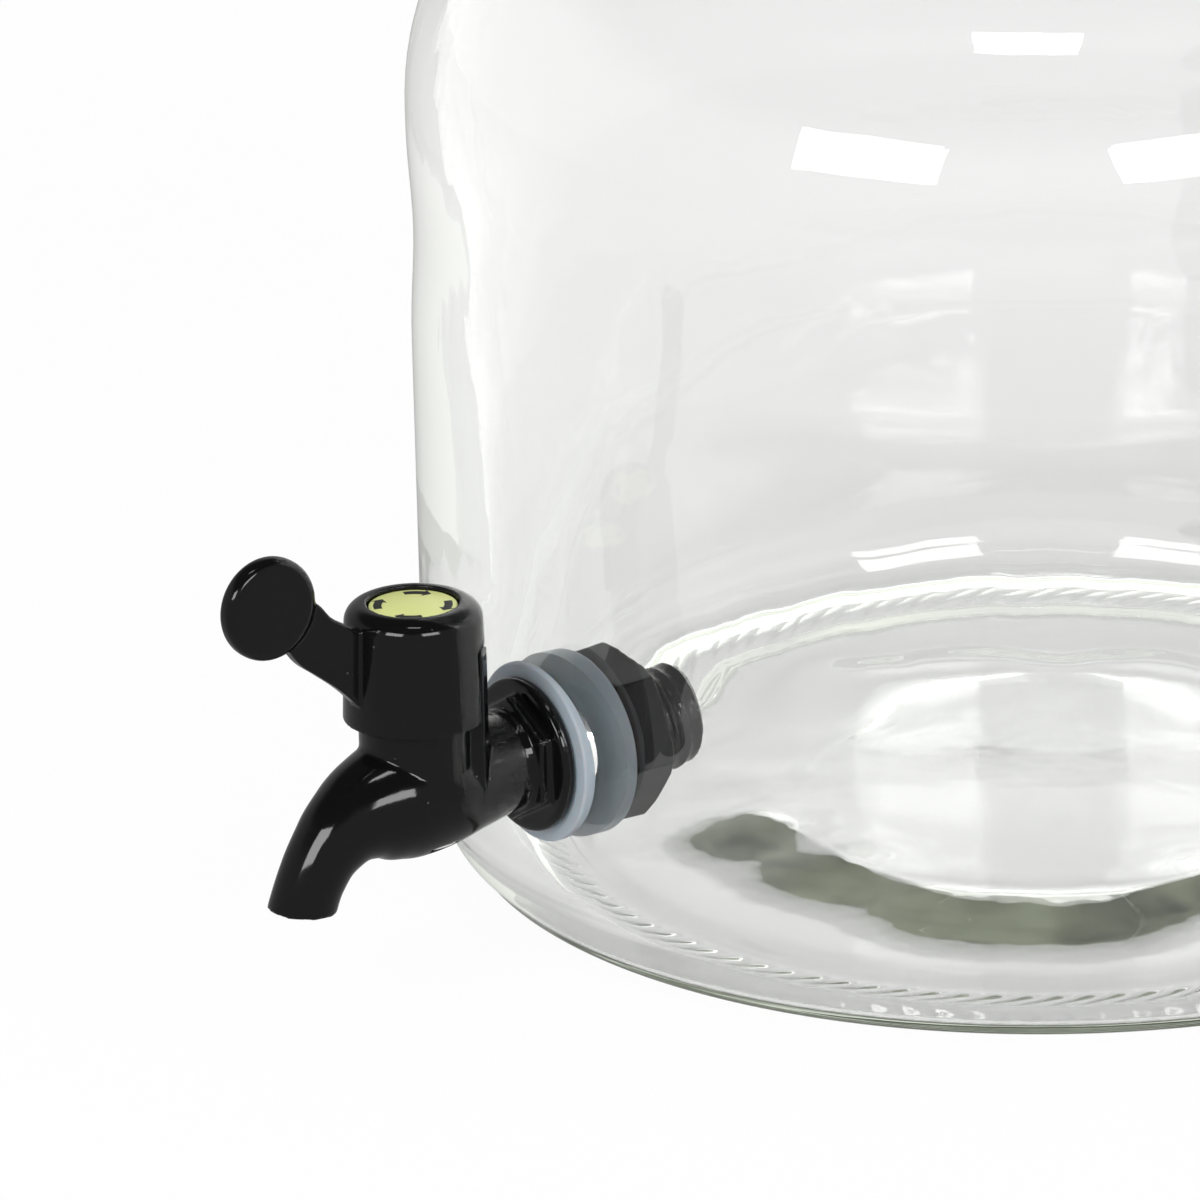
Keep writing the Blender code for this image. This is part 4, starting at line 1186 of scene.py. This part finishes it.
hole = prism(
    "hole", HOLE_RADIUS, LOWER_INNER_RADIUS - CUT_INSIDE, JAR_RADIUS + CUT_OUTSIDE, BORE_SIDES,
    ALONG_TAP,
)
combine(jar, [hole], "DIFFERENCE")
finished(jar, glass, "dispenser", ["glass_jar"], SHARP_DEG)

# %% [markdown]
# ## Lid
# A plain pressed-glass lid: a knob on a stem, a low dome, a round edge that rests on the seal,
# and a plug below that keeps it in the mouth. It is one turned piece, as it comes out of its
# press, so one line draws it from the top of the knob to the middle of its underside.

# %% Lid
LID_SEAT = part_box("lid_seal")[1][2] + GAP
LID_OVERHANG = 1.5 * MM
LID_EDGE = 4.5 * MM
LID_EDGE_ROUND = 1.8 * MM
LID_DOME_RISE = 4.5 * MM
LID_THICKNESS = 5.0 * MM
LID_PLUG_RADIUS = MOUTH_RADIUS - 2.8 * MM
LID_PLUG_INSIDE = LID_PLUG_RADIUS - 4.5 * MM
LID_PLUG_DEPTH = 11 * MM
LID_STEPS = 144
EDGE_STEPS = 8
KNOB_RADIUS = 16 * MM
KNOB_HALF_HEIGHT = 8.5 * MM
KNOB_ROUND_DEG = 145
KNOB_POINTS = 32
KNOB_STEM_RADIUS = 9 * MM
KNOB_STEM_HEIGHT = 6 * MM
LID_TOP_EDGE = LID_SEAT + LID_EDGE
LID_DOME_TOP = LID_TOP_EDGE + LID_DOME_RISE


def knob_line():
    """The knob, its stem, and the stem's foot on the dome."""
    centre = LID_DOME_TOP + KNOB_STEM_HEIGHT + KNOB_HALF_HEIGHT
    points = [(0.0, centre + KNOB_HALF_HEIGHT)]
    for i in range(1, KNOB_POINTS + 1):
        angle = math.radians(90 - KNOB_ROUND_DEG * i / KNOB_POINTS)
        height = centre + KNOB_HALF_HEIGHT * math.sin(angle)
        points.append((KNOB_RADIUS * math.cos(angle), height))
    points += [(KNOB_STEM_RADIUS, LID_DOME_TOP + KNOB_STEM_HEIGHT / 2)]
    return points + [(KNOB_STEM_RADIUS + KNOB_STEM_HEIGHT / 3, LID_DOME_TOP)]


def lid_line():
    line = knob_line() + [(LID_PLUG_RADIUS, LID_TOP_EDGE + LID_DOME_RISE / 3)]
    edge = BEAD_CENTRE_RADIUS + RIM_BEAD + LID_OVERHANG - LID_EDGE_ROUND
    line += arc((edge, LID_TOP_EDGE - LID_EDGE_ROUND), LID_EDGE_ROUND, 90, 0, EDGE_STEPS)
    line += arc((edge, LID_SEAT + LID_EDGE_ROUND), LID_EDGE_ROUND, 0, -90, EDGE_STEPS)
    bottom = LID_SEAT - LID_PLUG_DEPTH
    ceiling = LID_DOME_TOP - LID_THICKNESS
    line += [(LID_PLUG_RADIUS, LID_SEAT), (LID_PLUG_RADIUS, bottom + LID_EDGE_ROUND)]
    line += [(LID_PLUG_RADIUS - LID_EDGE_ROUND, bottom), (LID_PLUG_INSIDE, bottom)]
    line += [(LID_PLUG_INSIDE, LID_TOP_EDGE - LID_THICKNESS + LID_EDGE_ROUND)]
    return line + [(LID_PLUG_INSIDE - LID_EDGE_ROUND, ceiling), (0.0, ceiling)]


LID_SPACING = 0.15 * MM
LID_SPREAD = 0.45 * MM
LID_BEND_DEG = 5.0
LID_LONGEST_STEP = 4.0 * MM
line = thinned(softened(lid_line(), LID_SPACING, LID_SPREAD), LID_BEND_DEG, LID_LONGEST_STEP)
lid = turned("lid_glass", line, LID_STEPS, UPRIGHT_AT_JAR)
finished(lid, glass, "lid", ["glass_lid"])
lid.visible_shadow = False

# %% [markdown]
# ### Seal
# A flat ring of clear silicone lies on the rim, and the lid rests on it. Its section is a strip
# with its two outer corners rounded.

# %% Seal
SEAL_WIDTH = 9.5 * MM
SEAL_ROUND = 1.1 * MM
SEAL_ROUND_STEPS = 5


def make_seal():
    bottom, top = (corner[2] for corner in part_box("lid_seal"))
    inside = LID_PLUG_RADIUS + GAP
    edge = inside + SEAL_WIDTH - SEAL_ROUND
    section = [(inside, bottom), (inside, top)]
    section += arc((edge, top - SEAL_ROUND), SEAL_ROUND, 90, 0, SEAL_ROUND_STEPS)
    section += arc((edge, bottom + SEAL_ROUND), SEAL_ROUND, 0, -90, SEAL_ROUND_STEPS)
    return turned("seal_ring", section, LID_STEPS, UPRIGHT_AT_JAR)


finished(make_seal(), silicone, "lid", ["lid_seal"], SHARP_DEG)

# %% [markdown]
# ## Tap body
# The tap is one moulding: a threaded tail, a flange, a hexagon collar, a pipe that swells under
# the valve barrel, and the spout. Its forms are made one by one, as a designer would, then
# joined, bored and rounded. First the tail, with the flange that presses on the washer.

# %% Tail and flange
THREAD_ROOT_RADIUS = 7.45 * MM
FLANGE_RADIUS = 12.6 * MM
FLANGE_THICKNESS = 2.2 * MM
FLANGE_ROUND = 0.9 * MM
FLANGE_BACK_ROUND = 0.3 * MM
COLLAR_ACROSS_FLATS = 18 * MM
COLLAR_LENGTH = 2.1 * MM
PIPE_RADIUS = 8.2 * MM
PIPE_STEP = 1.1 * MM
SINK = 0.6 * MM
TURNED_STEPS = 128


def front_of(node, corner):
    """How far a corner of a CAD node's box is in front of the jar's axis."""
    return JAR_AXIS.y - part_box(node)[corner][1]


TAIL_END = front_of("tap_body", 1)
WASHER_FACE = front_of("outer_washer", 0)
FLANGE_BACK = WASHER_FACE + GAP
FLANGE_FRONT = FLANGE_BACK + FLANGE_THICKNESS
COLLAR_FRONT = FLANGE_FRONT + COLLAR_LENGTH


def tail_and_flange_line():
    edge = FLANGE_RADIUS - FLANGE_ROUND
    line = [(0.0, COLLAR_FRONT + PIPE_STEP), (PIPE_RADIUS, COLLAR_FRONT + PIPE_STEP)]
    line += [(PIPE_RADIUS, FLANGE_FRONT)]
    line += arc((edge, FLANGE_FRONT - FLANGE_ROUND), FLANGE_ROUND, 90, 0, EDGE_STEPS)
    line += [(FLANGE_RADIUS, FLANGE_BACK + FLANGE_BACK_ROUND)]
    line += [(FLANGE_RADIUS - FLANGE_BACK_ROUND, FLANGE_BACK)]
    line += [(THREAD_ROOT_RADIUS, FLANGE_BACK), (THREAD_ROOT_RADIUS, TAIL_END)]
    return line + [(0.0, TAIL_END)]


tap = turned("tap_moulding", tail_and_flange_line(), TURNED_STEPS, ALONG_TAP)
corner_radius = COLLAR_ACROSS_FLATS / math.sqrt(3)
collar = prism("collar", corner_radius, FLANGE_FRONT - SINK, COLLAR_FRONT, 6, ALONG_TAP)
print("tail runs from", TAIL_END, "to the flange at", FLANGE_BACK)

# %% [markdown]
# ### Thread
# A real thread is a ridge along a helix. Its four-cornered section is walked round the tail step
# by step. It stands a little into the tail, so that the two join into one solid.

# %% Thread
THREAD_CREST_RADIUS = 8.15 * MM
THREAD_PITCH = 2.1 * MM
THREAD_HALF_WIDTH = 0.5 * MM
THREAD_STEPS_A_TURN = 40
THREAD_FOOT = THREAD_ROOT_RADIUS - THREAD_HALF_WIDTH
# The section's corners: a radius, and a share of the half width along the tail
THREAD_SECTION = (
    (THREAD_FOOT, -1.5), (THREAD_CREST_RADIUS, -0.4), (THREAD_CREST_RADIUS, 0.4),
    (THREAD_FOOT, 1.5),
)
THREAD_RUN_IN = 1.6


def make_thread():
    turns = (FLANGE_BACK - TAIL_END) / THREAD_PITCH - 1.0
    steps = int(turns * THREAD_STEPS_A_TURN)
    start = TAIL_END + THREAD_HALF_WIDTH * THREAD_RUN_IN
    verts = []
    for i in range(steps + 1):
        angle = 2 * math.pi * turns * i / steps
        along = start + THREAD_PITCH * turns * i / steps
        for radius, share in THREAD_SECTION:
            height = along + share * THREAD_HALF_WIDTH
            verts.append((radius * math.cos(angle), radius * math.sin(angle), height))
    faces = []
    for i in range(steps):
        for k in range(4):
            a = 4 * i + k
            b = 4 * i + (k + 1) % 4
            faces.append((a, b, b + 4, a + 4))
    faces += [(3, 2, 1, 0), tuple(range(4 * steps, 4 * steps + 4))]
    return piece_from("thread", verts, faces, ALONG_TAP)


thread = make_thread()
print("thread faces", len(thread.data.polygons))

# %% [markdown]
# ### Body and spout
# From the collar the pipe swells under the valve and narrows again as it bends down into the
# spout. The places along it are shares of the spout's reach and drop, so that the whole curve
# follows when either changes. The bore inside runs through the same places.

# %% Body and spout
TUBE_START_RADIUS = 7.7 * MM
BODY_RADIUS = 10 * MM
OUTLET_RADIUS = 5.4 * MM
SPOUT_WALL = 1.3 * MM
SPOUT_REACH = 22.9 * MM
SPOUT_DROP = 15.7 * MM
SPOUT_SIDES = 96
SPOUT_STEPS = 14
SMALL_BORE_SIDES = 64
PASSAGE_RADIUS = 3.4 * MM
BARREL_AXIS = JAR_AXIS.y - PIVOT.y
# Places along the body and spout: shares of the reach, of the drop, and of the swell
SPOUT_SHARES = (
    (-0.36, 0.05, 0.78), (0.00, 0.085, 0.98), (0.31, 0.105, 0.87), (0.575, 0.20, 0.42),
    (0.76, 0.395, 0.13), (0.90, 0.67, 0.01), (1.00, 1.00, 0.00), (1.06, 1.25, 0.00),
)


def spout_line(outlet, body):
    points = []
    for reach_share, drop_share, swell_share in SPOUT_SHARES:
        place = (0.0, -SPOUT_DROP * drop_share, BARREL_AXIS + SPOUT_REACH * reach_share)
        points.append((place, outlet + (body - outlet) * swell_share))
    return points


pipe_start = ((0.0, 0.0, FLANGE_FRONT), TUBE_START_RADIUS)
outside_knots = [pipe_start] + spout_line(OUTLET_RADIUS, BODY_RADIUS)
outside = tube("outside", outside_knots, SPOUT_SIDES, SPOUT_STEPS, ALONG_TAP)
bore_knots = spout_line(OUTLET_RADIUS - SPOUT_WALL, PASSAGE_RADIUS)[1:]
spout_bore = tube("spout_bore", bore_knots, SMALL_BORE_SIDES, SPOUT_STEPS, ALONG_TAP)
print("spout outside", len(outside.data.polygons), "faces, bore", len(spout_bore.data.polygons))

# %% [markdown]
# ### Valve barrel and stop rib
# The upright barrel holds the turning plug. The rib on its side stops the handle: it stands in
# the window of the cap's skirt.

# %% Barrel and rib
BARREL_RADIUS = 9.2 * MM
PORT_HEIGHT = TAP_HEIGHT - 1.5 * MM
CAP_BOTTOM = 48.2 * MM
CAP_TOP = 67.2 * MM
CAP_PLATE = 6.2 * MM
CEILING = CAP_TOP - CAP_PLATE
BARREL_TOP = CEILING - GAP
WINDOW_HEIGHT = 11.8 * MM
STOP_RIB_ANGLE_DEG = 44.0
STOP_RIB_WIDTH = 4.6 * MM
STOP_RIB_DEPTH = 2.0 * MM


def make_barrel():
    line = [(0.0, BARREL_TOP), (BARREL_RADIUS, BARREL_TOP)]
    line += [(BARREL_RADIUS, PORT_HEIGHT), (0.0, PORT_HEIGHT)]
    return turned("barrel", line, TURNED_STEPS, UPRIGHT_AT_VALVE)


def make_stop_rib():
    half = STOP_RIB_WIDTH / 2
    low = (-half, BARREL_RADIUS - SINK, PORT_HEIGHT)
    high = (half, BARREL_RADIUS + STOP_RIB_DEPTH, CAP_BOTTOM + WINDOW_HEIGHT - SINK)
    turn = Matrix.Rotation(-math.radians(STOP_RIB_ANGLE_DEG), 4, "Z")
    return block("rib", low, high, UPRIGHT_AT_VALVE @ turn)


combine(tap, [thread, collar, outside, make_barrel(), make_stop_rib()], "UNION")
print("tap joined,", len(tap.data.polygons), "faces")

# %% [markdown]
# ### Bores
# The drink runs through a wide bore in the tail, a narrower inlet, the valve's chamber and the
# spout. The last cutter trims the spout's mouth at a slight tilt.

# %% Bores
TAIL_BORE_RADIUS = 5.0 * MM
CHAMBER_RADIUS = 6.6 * MM
CHAMBER_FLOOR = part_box("valve_plug")[0][2] - GAP
CHAMBER_TURN_DEG = 1.9
OUTLET_TILT_DEG = 7.0
TAP_VOXEL = 0.37 * MM
TAP_ROUNDS = 3


def make_chamber():
    """The valve's chamber, turned a little so that its corners miss those of the barrel."""
    top = BARREL_TOP + OVERRUN
    place = UPRIGHT_AT_VALVE
    return prism(
        "chamber", CHAMBER_RADIUS, CHAMBER_FLOOR, top, BORE_SIDES, place, CHAMBER_TURN_DEG,
    )


def make_tail_bores():
    end = COLLAR_FRONT - GAP
    tail = prism(
        "tail_bore", TAIL_BORE_RADIUS, TAIL_END - OVERRUN, end, SMALL_BORE_SIDES, ALONG_TAP,
    )
    low = ALONG_TAP @ Matrix.Translation((0, PORT_HEIGHT - TAP_HEIGHT, 0))
    inlet = prism("inlet", PASSAGE_RADIUS, end - OVERRUN, BARREL_AXIS, SMALL_BORE_SIDES, low)
    return [tail, inlet]


def make_trim():
    tilt = Matrix.Translation((0.0, -SPOUT_DROP, BARREL_AXIS + SPOUT_REACH))
    tilt = ALONG_TAP @ tilt @ Matrix.Rotation(-math.radians(OUTLET_TILT_DEG), 4, "X")
    side = SPOUT_REACH
    return block("trim", (-side, -side, -side), (side, 0.0, side), tilt)


combine(tap, [make_chamber(), *make_tail_bores(), spout_bore, make_trim()], "DIFFERENCE")
moulded(tap, TAP_VOXEL, TAP_ROUNDS)
finished(tap, black_plastic, "dispenser", ["tap_body"])

# %% [markdown]
# ## Handle
# The cap, its lever and the round paddle are one moulding that turns on the barrel. The cap is
# turned from one line: a rounded top with a recess for the label, a skirt that tapers outwards,
# and inside it a hub for the plug's stem and the screw.

# %% Cap
CAP_TOP_RADIUS = 11.0 * MM
CAP_BOTTOM_RADIUS = 11.6 * MM
CAP_TOP_ROUND = 3.0 * MM
CAP_ROUND_STEPS = 12
CAP_BORE_RADIUS = BARREL_RADIUS + GAP
HUB_RADIUS = 5.9 * MM
HUB_BOTTOM = CEILING - 5.2 * MM
SCREW_WELL_RADIUS = 3.1 * MM
LABEL_RECESS_RADIUS = 7.3 * MM
LABEL_RECESS_DEPTH = 1.4 * MM


def cap_line():
    recess_floor = CAP_TOP - LABEL_RECESS_DEPTH
    corner = (CAP_TOP_RADIUS - CAP_TOP_ROUND, CAP_TOP - CAP_TOP_ROUND)
    line = [(LABEL_RECESS_RADIUS, CAP_TOP)] + arc(corner, CAP_TOP_ROUND, 90, 0, CAP_ROUND_STEPS)
    line += [(CAP_BOTTOM_RADIUS, CAP_BOTTOM), (CAP_BORE_RADIUS, CAP_BOTTOM)]
    line += [(CAP_BORE_RADIUS, CEILING), (HUB_RADIUS, CEILING), (HUB_RADIUS, HUB_BOTTOM)]
    line += [(SCREW_WELL_RADIUS, HUB_BOTTOM), (SCREW_WELL_RADIUS, recess_floor)]
    return line + [(LABEL_RECESS_RADIUS, recess_floor)]


handle = turned("handle_moulding", cap_line(), TURNED_STEPS, UPRIGHT_AT_VALVE)
print("cap faces", len(handle.data.polygons))

# %% [markdown]
# ### Lever and paddle
# The arm is flat, with a curved outline that rises from the cap to the paddle. A flat curve
# draws such an outline well, and its own Extrude gives the thickness. The paddle is a thick
# round disc on edge, turned about the tap's sideways axis.

# %% Lever and paddle
LEVER_REACH = 27.2 * MM
ARM_THICKNESS = 2.8 * MM
ARM_SMOOTHNESS = 12
PADDLE_HEIGHT = CAP_TOP + 5.1 * MM
PADDLE_RADIUS = 8.3 * MM
PADDLE_THICKNESS = 3.8 * MM
PADDLE_ROUND = 1.5 * MM
PADDLE_SIDES = 96
# The arm's outline: shares of the reach, and of the height from the cap's edge to the paddle
ARM_TOP_SHARES = ((0.385, 0.68), (0.47, 0.75), (0.59, 0.84), (0.69, 0.965), (0.80, 1.02))
ARM_BOTTOM_SHARES = ((0.90, 0.70), (0.81, 0.565), (0.70, 0.465), (0.53, 0.305), (0.385, 0.13))


def make_arm():
    curve = bpy.data.curves.new("arm", "CURVE")
    curve.dimensions = "2D"
    curve.fill_mode = "BOTH"
    curve.extrude = ARM_THICKNESS / 2
    curve.resolution_u = ARM_SMOOTHNESS
    shares = ARM_TOP_SHARES + ARM_BOTTOM_SHARES
    corners = (0, len(ARM_TOP_SHARES) - 1, len(ARM_TOP_SHARES), len(shares) - 1)
    rise = PADDLE_HEIGHT - CAP_BOTTOM
    spline = curve.splines.new("BEZIER")
    spline.bezier_points.add(len(shares) - 1)
    spline.use_cyclic_u = True
    for i, (knot, share) in enumerate(zip(spline.bezier_points, shares)):
        knot.co = (LEVER_REACH * share[0], CAP_BOTTOM + rise * share[1], 0.0)
        kind = "VECTOR" if i in corners else "AUTO"
        knot.handle_left_type = kind
        knot.handle_right_type = kind
    forwards = Matrix.Rotation(math.radians(-90), 4, "Z")
    upright = Matrix.Rotation(math.radians(90), 4, "X")
    return from_curve("arm", curve, UPRIGHT_AT_VALVE @ forwards @ upright)


def make_paddle():
    half = PADDLE_THICKNESS / 2
    edge = PADDLE_RADIUS - PADDLE_ROUND
    line = [(0.0, half)] + arc((edge, half - PADDLE_ROUND), PADDLE_ROUND, 90, 0, EDGE_STEPS)
    line += arc((edge, PADDLE_ROUND - half), PADDLE_ROUND, 0, -90, EDGE_STEPS) + [(0.0, -half)]
    place = Matrix.Translation(PIVOT + Vector((0, -LEVER_REACH, PADDLE_HEIGHT)))
    sideways = Matrix.Rotation(math.radians(90), 4, "Y")
    return turned("paddle", line, PADDLE_SIDES, place @ sideways)


combine(handle, [make_arm(), make_paddle()], "UNION")
print("cap, lever and paddle joined,", len(handle.data.polygons), "faces")

# %% [markdown]
# ### Window
# The window in the skirt is as wide as the handle's quarter turn and the stop rib together, so
# the rib ends the turn at both sides. Its cutter is a wedge about the valve's axis.

# %% Window
TURN_DEG = 90.0
OPEN_GAP_DEG = 2.0
SHUT_GAP_DEG = 3.0
WINDOW_STEPS = 24
HANDLE_VOXEL = 0.24 * MM
HANDLE_ROUNDS = 6


def make_window():
    half_rib_deg = math.degrees(math.atan2(STOP_RIB_WIDTH / 2, BARREL_RADIUS))
    first = STOP_RIB_ANGLE_DEG + half_rib_deg + OPEN_GAP_DEG
    last = STOP_RIB_ANGLE_DEG - half_rib_deg - SHUT_GAP_DEG - TURN_DEG
    verts = []
    for i in range(WINDOW_STEPS + 1):
        angle = math.radians(first + (last - first) * i / WINDOW_STEPS)
        for radius in (BARREL_RADIUS, CAP_BOTTOM_RADIUS + OVERRUN):
            for height in (CAP_BOTTOM - OVERRUN, CAP_BOTTOM + WINDOW_HEIGHT):
                verts.append((radius * math.sin(angle), radius * math.cos(angle), height))
    end = 4 * WINDOW_STEPS
    faces = [(0, 1, 3, 2), (end + 2, end + 3, end + 1, end)]
    for a in range(0, end, 4):
        for p, q in ((0, 1), (1, 3), (3, 2), (2, 0)):
            faces.append((a + p, a + q, a + q + 4, a + p + 4))
    return piece_from("window", verts, faces, UPRIGHT_AT_VALVE)


combine(handle, [make_window()], "DIFFERENCE")
moulded(handle, HANDLE_VOXEL, HANDLE_ROUNDS)
finished(handle, black_plastic, "handle", ["tap_handle"])

# %% [markdown]
# ## Label
# A printed disc lies in the cap's recess and covers the screw. Curved arrows on it show which
# way the handle turns. They could be painted by the material, but as thin pieces of their own
# they keep a crisp edge from any distance.

# %% Label
LABEL_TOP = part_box("label_disc")[1][2]
LABEL_THICKNESS = 0.5 * MM
LABEL_ROUND = 0.15 * MM
LABEL_ROUND_STEPS = 4
LABEL_SIDES = 96
LABEL_RADIUS = LABEL_RECESS_RADIUS - GAP


def make_label():
    corner = (LABEL_RADIUS - LABEL_ROUND, LABEL_TOP - LABEL_ROUND)
    line = [(0.0, LABEL_TOP)] + arc(corner, LABEL_ROUND, 90, 0, LABEL_ROUND_STEPS)
    bottom = LABEL_TOP - LABEL_THICKNESS
    line += [(LABEL_RADIUS, bottom), (0.0, bottom)]
    return turned("label_card", line, LABEL_SIDES, UPRIGHT_AT_VALVE)


finished(make_label(), label_print, "handle", ["label_disc"], SHARP_DEG)

# %% [markdown]
# ### Arrows
# Each arrow is an outline in radius and angle: a band that ends in a wider head. The outline is
# closed above and below, and stands a hair above the disc.

# %% Arrows
ARROW_RADIUS = 5.6 * MM
ARROW_HALF_WIDTH = 0.65 * MM
ARROW_HEAD_HALF_WIDTH = 1.25 * MM
ARROW_HEAD_DEG = 13.0
ARROW_STEPS = 14
ARROW_HEIGHTS = (LABEL_TOP - 0.1 * MM, LABEL_TOP + 0.04 * MM)
# Where each arrow starts and ends, in degrees clockwise from the jar, seen from above
ARROWS_DEG = ((20.0, 66.0), (110.0, 156.0), (200.0, 246.0), (290.0, 336.0))


def arrow_outline(start, end):
    neck = end - ARROW_HEAD_DEG
    along = [start + (neck - start) * i / ARROW_STEPS for i in range(ARROW_STEPS + 1)]
    outline = [(ARROW_RADIUS + ARROW_HALF_WIDTH, degrees) for degrees in along]
    outline += [(ARROW_RADIUS + ARROW_HEAD_HALF_WIDTH, neck), (ARROW_RADIUS, end)]
    outline += [(ARROW_RADIUS - ARROW_HEAD_HALF_WIDTH, neck)]
    return outline + [(ARROW_RADIUS - ARROW_HALF_WIDTH, degrees) for degrees in along[::-1]]


def make_arrows():
    verts = []
    faces = []
    for start, end in ARROWS_DEG:
        outline = arrow_outline(start, end)
        first = len(verts)
        count = len(outline)
        for height in ARROW_HEIGHTS:
            for radius, degrees in outline:
                angle = math.radians(degrees)
                verts.append((radius * math.sin(angle), radius * math.cos(angle), height))
        faces.append(tuple(range(first, first + count)))
        faces.append(tuple(range(first + 2 * count - 1, first + count - 1, -1)))
        for i in range(count):
            j = (i + 1) % count
            faces.append((first + j, first + i, first + count + i, first + count + j))
    return piece_from("label_arrows", verts, faces, UPRIGHT_AT_VALVE)


finished(make_arrows(), arrow_ink, "handle", (), SHARP_DEG)

# %% [markdown]
# ## Washers
# A washer on each side seals the hole. The flange and the nut press them flat on one side, while
# on the other they follow the round of the glass. So each is turned as a thick ring first, and
# then cut back with a cylinder about the jar's axis that is the wall's own face.

# %% Washers
WASHER_RADIUS = 14.7 * MM
INNER_WASHER_RADIUS = 15.0 * MM
WASHER_BORE = 8.3 * MM
WASHER_ROUND = 0.5 * MM
WASHER_ROUND_STEPS = 5
WASHER_SIDES = 160
WALL_SIDES = 720
INNER_WASHER_BACK = front_of("inner_washer", 1)


def wall_cylinder(name, radius):
    return prism(name, radius, 0.0, 2 * TAP_HEIGHT, WALL_SIDES, UPRIGHT_AT_JAR)


def make_outer_washer():
    corner = (WASHER_RADIUS - WASHER_ROUND, WASHER_FACE - WASHER_ROUND)
    line = [(WASHER_BORE, WASHER_FACE)] + arc(corner, WASHER_ROUND, 90, 0, WASHER_ROUND_STEPS)
    line += [(WASHER_RADIUS, LOWER_INNER_RADIUS), (WASHER_BORE, LOWER_INNER_RADIUS)]
    washer = turned("outer_washer_ring", line, WASHER_SIDES, ALONG_TAP)
    return combine(washer, [wall_cylinder("wall", JAR_RADIUS + GAP)], "DIFFERENCE")


def make_inner_washer():
    corner = (INNER_WASHER_RADIUS - WASHER_ROUND, INNER_WASHER_BACK + WASHER_ROUND)
    line = [(WASHER_BORE, JAR_RADIUS), (INNER_WASHER_RADIUS, JAR_RADIUS)]
    line += arc(corner, WASHER_ROUND, 0, -90, WASHER_ROUND_STEPS)
    line += [(WASHER_BORE, INNER_WASHER_BACK)]
    washer = turned("inner_washer_ring", line, WASHER_SIDES, ALONG_TAP)
    return combine(washer, [wall_cylinder("room", LOWER_INNER_RADIUS - GAP)], "INTERSECT")


finished(
    make_outer_washer(), silicone, "dispenser", ["outer_washer"], SHARP_DEG,
)
finished(
    make_inner_washer(), wet_silicone, "dispenser", ["inner_washer"], SHARP_DEG,
)

# %% [markdown]
# ## Nut
# A hexagon nut holds the tap from inside. Real nuts have their corners turned down on both
# faces. A double cone that overlaps the hexagon takes just the corners off, as the lathe does.

# %% Nut
NUT_ACROSS_FLATS = 24 * MM
NUT_TURN_DEG = 24.0
NUT_CORNER_CUT = 0.9 * MM
NUT_FLAT_MARGIN = 0.4 * MM
NUT_CORNER_MARGIN = 0.2 * MM
NUT_VOXEL = 0.22 * MM
NUT_ROUNDS = 4


def make_nut():
    back, front = front_of("lock_nut", 1), front_of("lock_nut", 0)
    corner = NUT_ACROSS_FLATS / math.sqrt(3)
    nut = prism("nut_moulding", corner, back, front, 6, ALONG_TAP, NUT_TURN_DEG)
    face = NUT_ACROSS_FLATS / 2 + NUT_FLAT_MARGIN
    outer = corner + NUT_CORNER_MARGIN
    cone = [(0.0, front), (face, front), (outer, front - NUT_CORNER_CUT)]
    cone += [(outer, back + NUT_CORNER_CUT), (face, back), (0.0, back)]
    combine(nut, [turned("cone", cone, TURNED_STEPS, ALONG_TAP)], "INTERSECT")
    bore = prism(
        "nut_hole", WASHER_BORE, back - OVERRUN, front + OVERRUN, BORE_SIDES, ALONG_TAP,
    )
    combine(nut, [bore], "DIFFERENCE")
    return moulded(nut, NUT_VOXEL, NUT_ROUNDS)


finished(make_nut(), nut_plastic, "dispenser", ["lock_nut"])

# %% [markdown]
# ## Inside the valve
# The plug, its two O-rings and the screw show only when the tap comes apart. Their CAD solids
# have the right shape already, so they stay and get their finishes.

# %% Inside the valve
CAD_FINISHES = {
    "valve_plug": plug_plastic,
    "upper_o_ring": rubber,
    "lower_o_ring": rubber,
    "handle_screw": steel,
}
for node, finish in CAD_FINISHES.items():
    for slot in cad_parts[node].material_slots:
        slot.material = finish
print("dressed", len(CAD_FINISHES), "CAD nodes")
